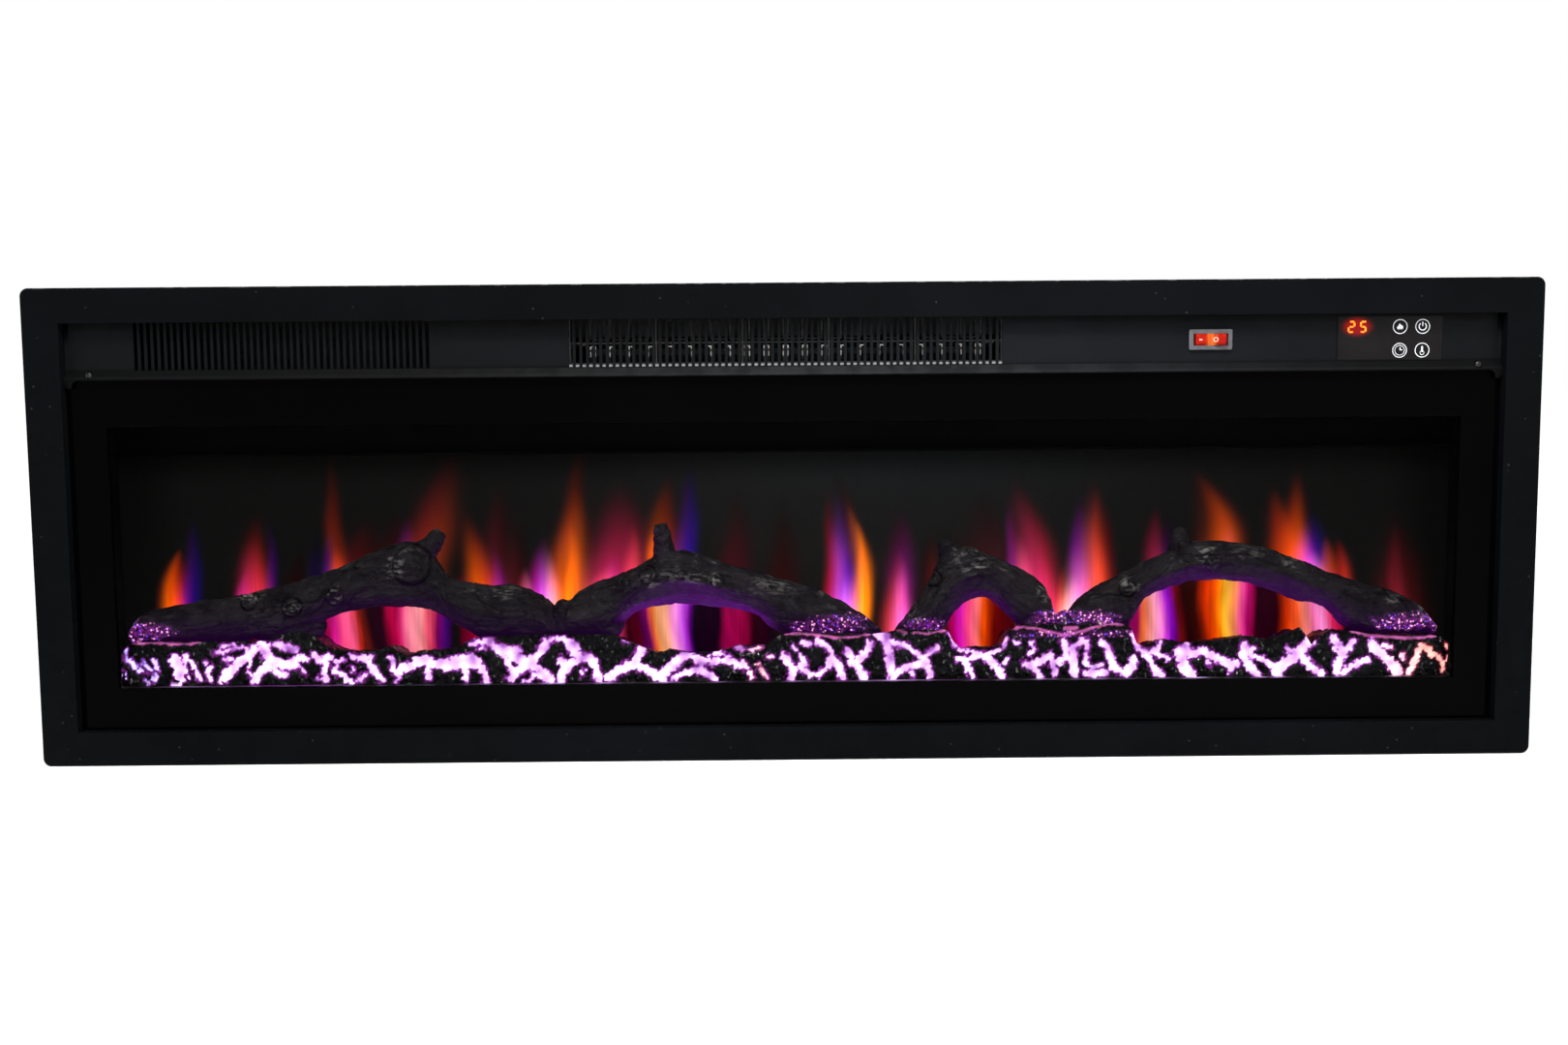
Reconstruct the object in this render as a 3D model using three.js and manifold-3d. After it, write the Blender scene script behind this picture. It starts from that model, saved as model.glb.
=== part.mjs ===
// Recessed linear electric fireplace with a crossflow fan heater and an LED flame effect.
// Millimetres. +X is to the right seen from the front, +Y goes into the wall, +Z is up.
// The origin is the centre of the back panel's rear face.

import * as THREE from 'three';
import { mergeVertices } from 'three/addons/utils/BufferGeometryUtils.js';
import Module from 'manifold-3d';

const wasm = await Module();
wasm.setup();

// ---------------------------------------------------------------- driving dimensions

const gap = 0.3;                 // clearance between neighbouring pieces
const past = 3;                  // how far a cutter runs past the faces that it cuts

// Trim frame
const frameWidth = 1280;
const frameHeight = 408;
const totalDepth = 150;
const flangeDepth = 10;          // how far the trim frame stands in front of the wall
const frameSideWidth = 31;
const frameBarHeight = 29.5;
const frameCornerRadius = 7;
const frameSheet = 1.2;
const frameEdge = 1;             // softened front edge of the trim frame

// Casing
const casingSideInset = 20;      // the casing is this much inside the frame at each side
const casingTopInset = 18;
const casingSheet = 1;
const casingFlange = 16;         // outturned flange that is screwed to the wall
const seamFlange = 10;           // inturned flanges behind the back panel
const cornerRelief = 2;          // notch at the corners where two folded panels meet
const wallHoleRadius = 2.5;
const wallHoleOffset = 9;        // from the casing's face to a hole's centre
const wallHolePitch = 279;
const wallHoleCount = 5;
const sideHolePitch = 186;
const sideHoleCount = 2;
const beadWidth = 40;            // stiffening beads pressed into the back panel
const beadBelowShelf = 6.5;      // from the shelf's rear flange down to the beads
const beadDepth = 3;
const beadWall = 2;
const beadX = [-480, -240, 240, 480];

// Control fascia
const fasciaSheet = 1.2;
const fasciaHeight = 40.7;       // from the frame's top bar down to the bend of the lip
const fasciaEndGap = 4;
const fasciaReturn = 12;
const lipDrop = 7.3;
const lipReach = 5;              // how far the lip slopes forward
const lipCornerRadius = 7;
const lipCornerEdge = 2;
const slotPitch = 5.6;
const slotWidth = 3.1;
const slotTopAboveOpening = 3.5;
const slotEndAboveBend = 1;
const intakeSlots = 45;
const intakeCentreX = -425.5;
const outletSlots = 66;
const outletCentreX = 1;
const fasciaScrewInset = 16.4;   // from the fascia's end
const fasciaScrewDrop = 3;       // below the bend
const screwHeadRadius = 2.7;
const screwHeadHeight = 1.8;
const screwRecess = 0.8;
const screwSlot = 0.8;
const screwShankRadius = 1.5;
const screwRecessRadius = 3.4;
const screwHeadBehindLip = 1.5;

// Glass and flame chamber
const glassThickness = 4;
const glassTuck = 3;             // how far the glass runs behind the frame's sides
const glassTopBelowBend = 5.8;
const railTopBelowOpening = 2;
const railRearRise = 8;          // the glass rail's rear leg stands this much higher
const shelfBelowBend = 2.3;
const shelfApron = 12;
const chamberInset = 9;          // from the frame's opening in to the chamber's side walls
const screenDepth = 90;          // from the frame's front plane to the flame screen
const screenThickness = 3;
const screenSideTuck = 12;
const valanceDrop = 76.8;        // from the fascia's bend down to the valance's lower edge
const valanceHem = 8;
const valanceHemRise = 3;
const valanceTop = 14;
const valanceFromScreen = 5;

// Ember bed and logs
const bedEndGap = 21;            // from the bed's end to the chamber's side wall
const bedFromScreen = 10;
const bedSetback = 18;           // from the frame's front plane
const bedAboveFloor = 46;
const bedSeatHeight = 33;        // from the bed's lower edge up to where the logs rest
const bedEdgeHeight = 6;
const bedBank = 7;               // how far the lumps and the rear bank rise above the seat
const bedWall = 4;
const trayFold = 12;
const trayWindowCount = 5;
const trayWindowPitch = 225;
const trayWindowWidth = 196;
const trayWindowMargin = 12;
const logSetback = 46;
const logHalfDepth = 19;

// Flame light and flicker rotor
const ledWidth = 5;
const ledDepth = 4;
const ledHeight = 2.2;
const ledStripWidth = 12;
const ledStripSheet = 1;
const ledCount = 14;
const ledFromScreen = 26;
const flameLedBelowFlags = 24;
const flameLedInset = 30;
const flickerAxisFromBack = 32;
const flickerAxisAboveFloor = 85;
const flickerRodInset = 35;      // from the chamber's side wall to the rod's end
const flickerRodRadius = 2.5;
const flickerFlagReach = 15;
const flickerFlagWidth = 24;
const flickerFlagTaper = 5;
const flickerFlagRoot = 2;
const flickerFlagSheet = 0.5;
const flickerFlagPitch = 44;
const flickerFlagTwist = 67;     // degrees from one flag to the next
const flickerFlagMargin = 20;
const flickerMotorOffset = 9;    // from the rod's end to the motor's face
const flickerMotorRadius = 22;
const flickerMotorLength = 16;
const flickerEarSheet = 1.2;
const flickerBoltRadius = 1.8;
const flickerBoltOffset = 3.5;   // outside the motor's can
const flickerBossRadius = 5;
const flickerBoss = 3;
const flickerShaftRadius = 1.5;
const flickerShaftSocket = 2;
const sleeveRadius = 4.5;
const sleeveGrip = 10;
const bushRadius = 6;
const bushHalfLength = 4;

// Crossflow blower and its motor
const impellerRadius = 18;
const impellerHalfLength = 172;
const impellerBlades = 16;
const impellerBladeDepth = 5.2;
const impellerBladeSheet = 0.6;
const impellerBladeCurl = 20;    // degrees from the blade's root to its tip
const impellerDisc = 1;
const impellerRim = 0.2;         // how far the discs stand past the blades
const hubRadius = 6;
const hubLength = 12;
const blowerShaftRadius = 2.5;
const shaftGrip = 14;
const bearingRadius = 6;
const blowerScrollGap = 3;
const scrollTurn = 125;          // degrees that the scroll wraps round the impeller
const scrollTaper = 0.96;        // how much nearer the impeller the scroll ends
const scrollSteps = 8;
const tongueGap = 2.5;
const tongueHeight = 6;          // above the shaft
const blowerSheet = 0.8;
const outletUpstand = 4.8;       // strip behind the outlet slots, above the duct's floor
const blowerDuctHalfWidth = 184;
const blowerAxisFromBack = 80;
const tongueBelowCover = 8;
const motorOffset = 12;          // from the blower's cheek to the motor's core
const motorCoreLength = 16;
const motorCoreHalfHeight = 19;
const motorCoreNear = 18;        // in front of the shaft
const motorCoreFar = 46;         // behind it
const motorCoreLimb = 8;
const motorRotorRadius = 11;
const motorAirGap = 0.6;
const coilLimb = 9;
const coilBuild = 8;
const strapSheet = 1.6;
const strapHalfWidth = 10;
const domeMargin = 3;            // from the rotor out to the bracket's dome
const domeBush = 7;
const domeLength = 9;
const postRadius = 2.5;

// Heating elements
const elementPitch = 16.5;
const elementHairpin = 4;
const elementWire = 1;
const elementCount = 21;
const elementFromFascia = 16;
const elementEndGap = 2;
const elementMiddleGap = 3;
const heaterRibs = 6;
const heaterFrameFront = 3;      // from the fascia's rear face
const heaterFrameRear = 11;      // behind the wires
const heaterFrameEnd = 8;
const micaSheet = 0.8;

// Switch
const switchX = 361;
const switchAboveBend = 19.9;
const bezelProud = 2;
const bezelCorner = 1.5;
const bezelEndRim = 2.15;
const bezelSideRim = 1.7;
const switchEndWall = 1.45;
const switchSideWall = 1.9;
const switchBodyDepth = 18;
const switchBladePitch = 8;
const switchBladeLength = 8;
const pivotBehindFascia = 4;
const paddleReach = 14.45;
const paddleHeight = 9.6;
const paddleSetback = 0.2;
const paddleTravel = 18;         // degrees from on to off
const paddleHeel = 20;           // degrees that its ends reach behind the pivot
const paddleBack = 5.5;
const paddlePinRadius = 1.4;
const paddlePinLength = 1.2;
const wellDepth = 9;             // behind the pivot

// Touch film and display
const filmLeft = 468.5;
const filmAboveBend = 1.2;
const filmWidth = 90;
const filmHeight = 37.5;
const filmCorner = 3;
const filmSheet = 0.4;
const filmGap = 0.1;
const digitsX = 485.5;
const digitsAboveBend = 29.6;
const digitsWidth = 20;
const digitsHeight = 13;
const displayBoardDepth = 7;     // behind the fascia
const displayBoardMargin = 2;
const displayPostRadius = 2.2;

// Control board and mains inlet
const boardX = 500;
const boardFromBack = 66;
const boardWidth = 150;
const boardDepth = 84;
const boardThickness = 1.6;
const boardStandoff = 5;
const boardPostRadius = 2.5;
const boardPostInset = 6;
const transformerHeight = 32;
const relayHeight = 15.5;
const terminalHeight = 14;
const terminalPitch = 9.5;
const terminalWays = 4;
const glandFromBack = 40;
const glandBelowCover = 30;
const glandBore = 4.2;
const glandWall = 4;

// ---------------------------------------------------------------- derived planes

const front = -totalDepth;
const wallFace = front + flangeDepth;
const openingX = frameWidth / 2 - frameSideWidth;
const openingZ = frameHeight / 2 - frameBarHeight;
const casingX = frameWidth / 2 - casingSideInset;
const casingZ = frameHeight / 2 - casingTopInset;
const innerX = casingX - casingSheet;
const innerZ = casingZ - casingSheet;
const innerBack = -casingSheet;
const floorZ = -innerZ + gap + casingSheet / 2;
const seamY = innerBack - gap - casingSheet / 2;
const behindY = seamY - casingSheet - gap;
const flangeY = wallFace - casingSheet / 2;

const fasciaFront = wallFace + gap;
const fasciaBack = fasciaFront + fasciaSheet;
const bendZ = openingZ - fasciaHeight;
const lipZ = bendZ - lipDrop;
const lipFront = fasciaFront - lipReach;
const fasciaHalfWidth = openingX - fasciaEndGap;
const fasciaScrewX = fasciaHalfWidth - fasciaScrewInset;
const glassFront = wallFace + gap;
const glassBack = glassFront + glassThickness;
const glassTop = bendZ - glassTopBelowBend;
const shelfZ = bendZ - shelfBelowBend;
const shelfTop = shelfZ + casingSheet / 2;
const shelfBottom = shelfZ - casingSheet / 2;
const apronY = glassBack + gap + casingSheet / 2;
const beadHeight = 2 * (shelfZ - seamFlange - beadBelowShelf);
const railTop = -openingZ - frameSheet - railTopBelowOpening;
const railRearTop = railTop + railRearRise;

const chamberHalfWidth = openingX - chamberInset;
const screenFront = front + screenDepth;
const screenBack = screenFront + screenThickness;
const screenFlangeY = screenFront - gap - casingSheet / 2;
const bedHalfWidth = chamberHalfWidth - bedEndGap;
const bedFront = front + bedSetback;
const bedRear = screenFront - bedFromScreen;
const bedDepth = bedRear - bedFront;
const bedBottom = -innerZ + bedAboveFloor;
const bedSeat = bedBottom + bedSeatHeight;
const trayTop = bedBottom - gap;
const logY = front + logSetback;

const flickerRodHalfLength = chamberHalfWidth - flickerRodInset;
const flickerMotorX = flickerRodHalfLength + flickerMotorOffset;
const flickerZ = -innerZ + flickerAxisAboveFloor;
const flickerFoot = -flickerAxisAboveFloor + gap + casingSheet / 2;
const flameLedHalfLength = flickerRodHalfLength - flameLedInset;
const flameLedZ = flickerZ - flickerFlagReach - flameLedBelowFlags;

const blowerY = -blowerAxisFromBack;
const blowerZ = shelfTop + gap + blowerSheet + blowerScrollGap + impellerRadius;
const ductFloor = blowerZ - impellerRadius - blowerScrollGap;
const ductRoof = innerZ - tongueBelowCover;
const ductFront = fasciaBack + gap;
const cheekX = blowerDuctHalfWidth + blowerSheet;
const coreX = cheekX + motorOffset;
const coreEnd = coreX + motorCoreLength;
const elementY = fasciaBack + elementFromFascia;
const ribLow = ductFloor + gap;
const ribHigh = ductRoof - blowerSheet - gap;
const micaMiddle = (ribLow + ribHigh) / 2;
const lowerElement = [ribLow + elementEndGap, micaMiddle - elementMiddleGap];
const upperElement = [micaMiddle + elementMiddleGap, ribHigh - elementEndGap];

const switchZ = bendZ + switchAboveBend;
const switchBodyWidth = 2 * (paddleReach + gap + switchEndWall);
const switchBodyHeight = paddleHeight + 2 * (gap + switchSideWall);
const bezelWidth = switchBodyWidth + 2 * bezelEndRim;
const bezelHeight = switchBodyHeight + 2 * bezelSideRim;
const switchFace = fasciaFront - gap;
const bezelFront = switchFace - bezelProud;
const pivotY = switchFace + pivotBehindFascia;
const digitsZ = bendZ + digitsAboveBend;
const filmBottom = bendZ + filmAboveBend;
const filmTop = filmBottom + filmHeight;
const filmRight = filmLeft + filmWidth;
const boardTop = shelfTop + gap + boardStandoff + boardThickness;

// ---------------------------------------------------------------- finishes

const powderCoat = { color: 0x15171a, roughness: 0.6, metalness: 0.4 };
const insideBlack = { color: 0x0b0c0d, roughness: 0.7, metalness: 0.2 };
const zinc = { color: 0x9a9da0, roughness: 0.42, metalness: 0.85 };
const brightSteel = { color: 0x8d9094, roughness: 0.3, metalness: 1 };
const mirrorFoil = { color: 0xc8ccd0, roughness: 0.2, metalness: 1 };
const tintedGlass = { color: 0x202326, roughness: 0.05, metalness: 0 };
const screenAcrylic = { color: 0x4a4d42, roughness: 0.5, metalness: 0 };
const emberResin = { color: 0x3a2a2c, roughness: 0.6, metalness: 0 };
const logResin = { color: 0x4b3a2e, roughness: 0.85, metalness: 0 };
const ledBoard = { color: 0xe6e6e2, roughness: 0.5, metalness: 0 };
const darkPlastic = { color: 0x1b1b1d, roughness: 0.65, metalness: 0 };
const motorIron = { color: 0x4c4f55, roughness: 0.6, metalness: 0.7 };
const copper = { color: 0x9c5a2c, roughness: 0.5, metalness: 0.4 };
const mica = { color: 0xb39a6b, roughness: 0.8, metalness: 0 };
const heatingWire = { color: 0xb8a898, roughness: 0.35, metalness: 1 };
const lightPlastic = { color: 0xd9dadc, roughness: 0.4, metalness: 0 };
const redLens = { color: 0xd0201a, roughness: 0.25, metalness: 0 };
const filmBlack = { color: 0x101114, roughness: 0.3, metalness: 0 };
const circuitBoard = { color: 0x1d5a34, roughness: 0.6, metalness: 0 };
const displayLens = { color: 0x2a0c0c, roughness: 0.3, metalness: 0 };
const varnishedIron = { color: 0x5a5348, roughness: 0.6, metalness: 0.3 };
const relayBlue = { color: 0x1d3f78, roughness: 0.4, metalness: 0 };
const terminalGreen = { color: 0x2e6b3c, roughness: 0.5, metalness: 0 };

// ---------------------------------------------------------------- solids and sheets

const toRadians = THREE.MathUtils.degToRad;

// Shape plane to the object's axes: along X from the YZ plane, along -Y from the XZ plane.
const alongX = new THREE.Matrix4().makeBasis(
  new THREE.Vector3(0, 1, 0), new THREE.Vector3(0, 0, 1), new THREE.Vector3(1, 0, 0));
const alongY = new THREE.Matrix4().makeBasis(
  new THREE.Vector3(1, 0, 0), new THREE.Vector3(0, 0, 1), new THREE.Vector3(0, -1, 0));

function solid(geometry) {
  const bare = geometry.clone();
  bare.deleteAttribute('normal');
  bare.deleteAttribute('uv');
  const merged = mergeVertices(bare);
  return new wasm.Manifold(new wasm.Mesh({
    numProp: 3,
    vertProperties: merged.attributes.position.array,
    triVerts: Uint32Array.from(merged.index.array),
  }));
}

function geometryOf(body) {
  const mesh = body.getMesh();
  const geometry = new THREE.BufferGeometry();
  geometry.setAttribute('position', new THREE.BufferAttribute(mesh.vertProperties, 3));
  geometry.setIndex(new THREE.BufferAttribute(mesh.triVerts, 1));
  return geometry;
}

function join(...bodies) {
  return bodies.reduce((all, body) => all.add(body));
}

function cut(body, ...cutters) {
  return cutters.reduce((rest, cutter) => rest.subtract(cutter), body);
}

function extrude(shape, depth, steps = 6, bevel = 0) {
  return new THREE.ExtrudeGeometry(shape, {
    depth: depth - 2 * bevel,
    curveSegments: steps,
    bevelEnabled: bevel > 0,
    bevelThickness: bevel,
    bevelSize: bevel,
    bevelOffset: -bevel,
    bevelSegments: 1,
  }).translate(0, 0, bevel);
}

function runX(shape, x0, x1, steps, bevel) {
  return solid(extrude(shape, x1 - x0, steps, bevel).applyMatrix4(alongX).translate(x0, 0, 0));
}

function runY(shape, y0, y1, steps, bevel) {
  return solid(extrude(shape, y1 - y0, steps, bevel).applyMatrix4(alongY).translate(0, y1, 0));
}

function runZ(shape, z0, z1, steps, bevel) {
  return solid(extrude(shape, z1 - z0, steps, bevel).translate(0, 0, z0));
}

function block(x0, x1, y0, y1, z0, z1) {
  const box = new THREE.BoxGeometry(x1 - x0, y1 - y0, z1 - z0);
  return solid(box.translate((x0 + x1) / 2, (y0 + y1) / 2, (z0 + z1) / 2));
}

function rodX(radius, x0, x1, y = 0, z = 0, sides = 16) {
  const rod = new THREE.CylinderGeometry(radius, radius, x1 - x0, sides);
  return solid(rod.rotateZ(-Math.PI / 2).translate((x0 + x1) / 2, y, z));
}

function rodY(radius, y0, y1, x = 0, z = 0, sides = 8) {
  return solid(new THREE.CylinderGeometry(radius, radius, y1 - y0, sides).translate(x, (y0 + y1) / 2, z));
}

function rodZ(radius, z0, z1, x = 0, y = 0, sides = 12) {
  const rod = new THREE.CylinderGeometry(radius, radius, z1 - z0, sides);
  return solid(rod.rotateX(Math.PI / 2).translate(x, y, (z0 + z1) / 2));
}

// A turned piece: profile points are [radius, distance along the axis], axis along +X.
function turnedX(profile, sides = 16) {
  const points = profile.map(([radius, along]) => new THREE.Vector2(radius, along));
  return solid(new THREE.LatheGeometry(points, sides).rotateZ(-Math.PI / 2));
}

function outline(points) {
  return new THREE.Shape(points.map(([u, v]) => new THREE.Vector2(u, v)));
}

function rectangle(u0, u1, v0, v1, radius = 0) {
  if (radius === 0) {
    return outline([[u0, v0], [u1, v0], [u1, v1], [u0, v1]]);
  }
  const shape = new THREE.Shape();
  shape.absarc(u1 - radius, v0 + radius, radius, -Math.PI / 2, 0);
  shape.absarc(u1 - radius, v1 - radius, radius, 0, Math.PI / 2);
  shape.absarc(u0 + radius, v1 - radius, radius, Math.PI / 2, Math.PI);
  shape.absarc(u0 + radius, v0 + radius, radius, Math.PI, Math.PI * 1.5);
  shape.closePath();
  return shape;
}

function centred(width, height, radius) {
  return rectangle(-width / 2, width / 2, -height / 2, height / 2, radius);
}

function hexagon(radius) {
  return outline(Array.from({ length: 6 }, (_, i) => {
    const angle = i * Math.PI / 3;
    return [radius * Math.cos(angle), radius * Math.sin(angle)];
  }));
}

// The corner of a line, bent round: points on an arc that touches both of its sides.
function bentCorner(before, corner, after, bend, steps) {
  const back = before.clone().sub(corner).normalize();
  const ahead = after.clone().sub(corner).normalize();
  const half = Math.acos(THREE.MathUtils.clamp(back.dot(ahead), -1, 1)) / 2;
  const centre = back.clone().add(ahead).normalize().multiplyScalar(bend / Math.sin(half)).add(corner);
  const from = corner.clone().addScaledVector(back, bend / Math.tan(half)).sub(centre);
  const to = corner.clone().addScaledVector(ahead, bend / Math.tan(half)).sub(centre);
  const turn = Math.atan2(from.cross(to), from.dot(to));
  return Array.from({ length: steps + 1 }, (_, k) =>
    from.clone().rotateAround(new THREE.Vector2(), turn * k / steps).add(centre));
}

// A folded sheet's section: the centre line through the given corners, thickened to the sheet.
function foldedSheet(corners, sheet, bend = 1.5, steps = 2) {
  const line = corners.map(([u, v]) => new THREE.Vector2(u, v));
  const centre = line.flatMap((point, i) => {
    const inside = i > 0 && i < line.length - 1;
    return inside && bend > 0 ? bentCorner(line[i - 1], point, line[i + 1], bend, steps) : [point];
  });
  const left = [];
  const right = [];
  centre.forEach((point, i) => {
    const before = i > 0 ? point.clone().sub(centre[i - 1]).normalize() : null;
    const after = i < centre.length - 1 ? centre[i + 1].clone().sub(point).normalize() : null;
    const along = (before ?? after).clone().add(after ?? before).normalize();
    const normal = new THREE.Vector2(-along.y, along.x);
    const reach = sheet / 2 / along.dot(before ?? after);
    left.push(point.clone().addScaledVector(normal, reach));
    right.unshift(point.clone().addScaledVector(normal, -reach));
  });
  return new THREE.Shape([...left, ...right]);
}

// Evenly spaced places, centred on zero.
function spread(count, pitch) {
  return Array.from({ length: count }, (_, i) => (i - (count - 1) / 2) * pitch);
}

function mirrorX(body, side) {
  return side > 0 ? body : body.mirror([1, 0, 0]);
}

function mirrorZ(body, side) {
  return side > 0 ? body : body.mirror([0, 0, 1]);
}

const fireplace = new THREE.Group();

function assembly(x = 0, y = 0, z = 0) {
  const group = new THREE.Group();
  group.position.set(x, y, z);
  fireplace.add(group);
  return group;
}

function add(group, name, body, finish, x = 0, y = 0, z = 0) {
  const mesh = new THREE.Mesh(geometryOf(body), new THREE.MeshStandardMaterial(finish));
  mesh.name = name;
  mesh.position.set(x, y, z);
  group.add(mesh);
}

// ---------------------------------------------------------------- casing

// Holes in the outturned flanges, which hold the casing to the wall; places are [x, z].
function wallHoles(places) {
  return places.map(([x, z]) => rodY(wallHoleRadius, wallFace - past, wallFace + past, x, z));
}

function makeCover(up) {
  const z = casingZ - casingSheet / 2;
  const section = foldedSheet([
    [flangeY, casingZ + casingFlange], [flangeY, z], [seamY, z], [seamY, z - seamFlange],
  ], casingSheet);
  const notchX = casingX - seamFlange - cornerRelief;
  const notch = block(notchX, casingX + past, behindY, past, innerZ - seamFlange - casingSheet, innerZ);
  const holes = wallHoles(spread(wallHoleCount, wallHolePitch).map((x) => [x, casingZ + wallHoleOffset]));
  const cover = cut(runX(section, -casingX, casingX), notch, mirrorX(notch, -1), ...holes);
  return mirrorZ(cover, up);
}

function makeSide(side) {
  const x = casingX - casingSheet / 2;
  const section = foldedSheet([
    [casingX + casingFlange, flangeY], [x, flangeY], [x, seamY], [x - seamFlange, seamY],
  ], casingSheet);
  const holes = wallHoles(spread(sideHoleCount, sideHolePitch).map((z) => [casingX + wallHoleOffset, z]));
  const wall = cut(runZ(section, -innerZ + gap, innerZ - gap), ...holes);
  const inlet = rodX(glandBore + glandWall + gap, innerX - past, casingX + past, -glandFromBack,
    casingZ - glandBelowCover);
  return mirrorX(side > 0 ? cut(wall, inlet) : wall, side);
}

function makeBackPanel() {
  const plate = block(-casingX, casingX, innerBack, 0, -casingZ, casingZ);
  const radius = beadWidth / 2 - 1;
  const bead = centred(beadWidth, beadHeight, radius);
  const groove = centred(beadWidth - 2 * beadWall, beadHeight - 2 * beadWall, radius - beadWall);
  const ridges = beadX.map((x) => runY(bead, innerBack - beadDepth, 0, 2, 1).translate([x, 0, 0]));
  const grooves = beadX.map((x) => runY(groove, -beadDepth, past, 2).translate([x, 0, 0]));
  return cut(join(plate, ...ridges), ...grooves);
}

const casing = assembly();
add(casing, 'top_cover', makeCover(1), powderCoat);
add(casing, 'base_pan', makeCover(-1), powderCoat);
add(casing, 'left_side_panel', makeSide(-1), powderCoat);
add(casing, 'right_side_panel', makeSide(1), powderCoat);
add(casing, 'back_panel', makeBackPanel(), powderCoat);

// ---------------------------------------------------------------- trim frame

// A pressed frame, open at the back: a flat face, four outer edges and a return round the opening.
function makeTrimFrame() {
  const pressed = runY(centred(frameWidth, frameHeight, frameCornerRadius), front, wallFace + frameEdge, 5,
    frameEdge);
  const behindWall = runY(centred(frameWidth, frameHeight), wallFace, wallFace + past);
  const opening = runY(centred(2 * openingX, 2 * openingZ), front - past, wallFace + past);
  const hollow = runY(centred(frameWidth - 2 * frameSheet, frameHeight - 2 * frameSheet,
    frameCornerRadius - frameSheet), front + frameSheet, wallFace + past, 5);
  const returns = runY(centred(2 * (openingX + frameSheet), 2 * (openingZ + frameSheet)), front,
    wallFace + 2 * past);
  return cut(pressed, behindWall, cut(hollow, returns), opening);
}

const facing = assembly();
add(facing, 'trim_frame', makeTrimFrame(), powderCoat);

// ---------------------------------------------------------------- control fascia

// A row of upright slots, which run on behind the frame's top bar.
function grille(count, centreX) {
  const low = bendZ + slotEndAboveBend;
  const high = openingZ + slotTopAboveOpening;
  const slots = spread(count, slotPitch).map((x) =>
    rectangle(centreX + x - slotWidth / 2, centreX + x + slotWidth / 2, low, high));
  return runY(slots, fasciaFront - past, fasciaBack + past);
}

// The lip's ends turn down beside the glass in a small quarter round.
function lipCorner(side) {
  const x = fasciaHalfWidth - lipCornerEdge - lipCornerRadius;
  const shape = new THREE.Shape();
  shape.moveTo(fasciaHalfWidth, lipZ + 1);
  shape.lineTo(x, lipZ + 1);
  shape.lineTo(x, lipZ);
  shape.absarc(x, lipZ - lipCornerRadius, lipCornerRadius, Math.PI / 2, 0, true);
  shape.lineTo(fasciaHalfWidth, lipZ - lipCornerRadius);
  shape.closePath();
  return mirrorX(runY(shape, lipFront, lipFront + fasciaSheet, 5), side);
}

function fasciaWindow(width, height, x, z) {
  const shape = centred(width + 2 * gap, height + 2 * gap);
  return runY(shape, fasciaFront - past, fasciaBack + past).translate([x, 0, z]);
}

function makeFascia() {
  const y = fasciaFront + fasciaSheet / 2;
  const top = innerZ - gap - fasciaSheet / 2;
  const section = foldedSheet([
    [y + fasciaReturn, top], [y, top], [y, bendZ], [y - lipReach, lipZ],
  ], fasciaSheet, 2);
  const panel = join(runX(section, -fasciaHalfWidth, fasciaHalfWidth), lipCorner(1), lipCorner(-1));
  const screwHoles = [-1, 1].map((side) => rodY(screwRecessRadius, lipFront - past, fasciaBack,
    side * fasciaScrewX, bendZ - fasciaScrewDrop));
  return cut(panel, grille(intakeSlots, intakeCentreX), grille(outletSlots, outletCentreX),
    fasciaWindow(switchBodyWidth, switchBodyHeight, switchX, switchZ),
    fasciaWindow(digitsWidth, digitsHeight, digitsX, digitsZ), ...screwHoles);
}

// A self-tapping screw with a cross recess; its point stops short of the shelf's apron.
function makeFasciaScrew() {
  const length = apronY - casingSheet / 2 - gap - lipFront - screwHeadBehindLip;
  const profile = [[0, 0], [screwHeadRadius * 0.7, 0], [screwHeadRadius, screwRecess],
    [screwHeadRadius, screwHeadHeight], [screwShankRadius, screwHeadHeight], [screwShankRadius, length - 1],
    [0, length]];
  const reach = screwHeadRadius * 0.6;
  const half = screwSlot / 2;
  const recess = [block(-past, screwRecess, -half, half, -reach, reach),
    block(-past, screwRecess, -reach, reach, -half, half)];
  return cut(turnedX(profile, 12), ...recess).rotate([0, 0, 90]);
}

add(facing, 'control_fascia', makeFascia(), powderCoat);
for (const [name, side] of [['left', -1], ['right', 1]]) {
  add(facing, `fascia_screw_${name}`, makeFasciaScrew(), brightSteel,
    side * fasciaScrewX, lipFront + screwHeadBehindLip, bendZ - fasciaScrewDrop);
}

// ---------------------------------------------------------------- glass and flame chamber

function makeGlass() {
  const halfWidth = openingX + glassTuck;
  const shape = rectangle(-halfWidth, halfWidth, floorZ + casingSheet / 2 + gap, glassTop, 2);
  return runY(shape, glassFront, glassBack, 2);
}

// The glass stands in a U channel on the casing's floor.
function makeGlassRail() {
  const frontLeg = glassFront - gap - casingSheet / 2;
  const rearLeg = glassBack + gap + casingSheet / 2;
  const section = foldedSheet([
    [frontLeg, railTop], [frontLeg, floorZ], [rearLeg, floorZ], [rearLeg, railRearTop],
  ], casingSheet, 0.6);
  return runX(section, -openingX - glassTuck, openingX + glassTuck);
}

function makeShelf() {
  const section = foldedSheet([
    [apronY, shelfZ - shelfApron], [apronY, shelfZ], [behindY, shelfZ], [behindY, shelfZ - seamFlange],
  ], casingSheet);
  return runX(section, -innerX + 2 * gap, innerX - 2 * gap);
}

function makeChamberWall(side) {
  const x = chamberHalfWidth + casingSheet / 2;
  const section = foldedSheet([
    [innerX - gap, apronY], [x, apronY], [x, screenFlangeY], [innerX - gap, screenFlangeY],
  ], casingSheet);
  return mirrorX(runZ(section, railRearTop + gap, shelfZ - shelfApron - gap), side);
}

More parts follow.
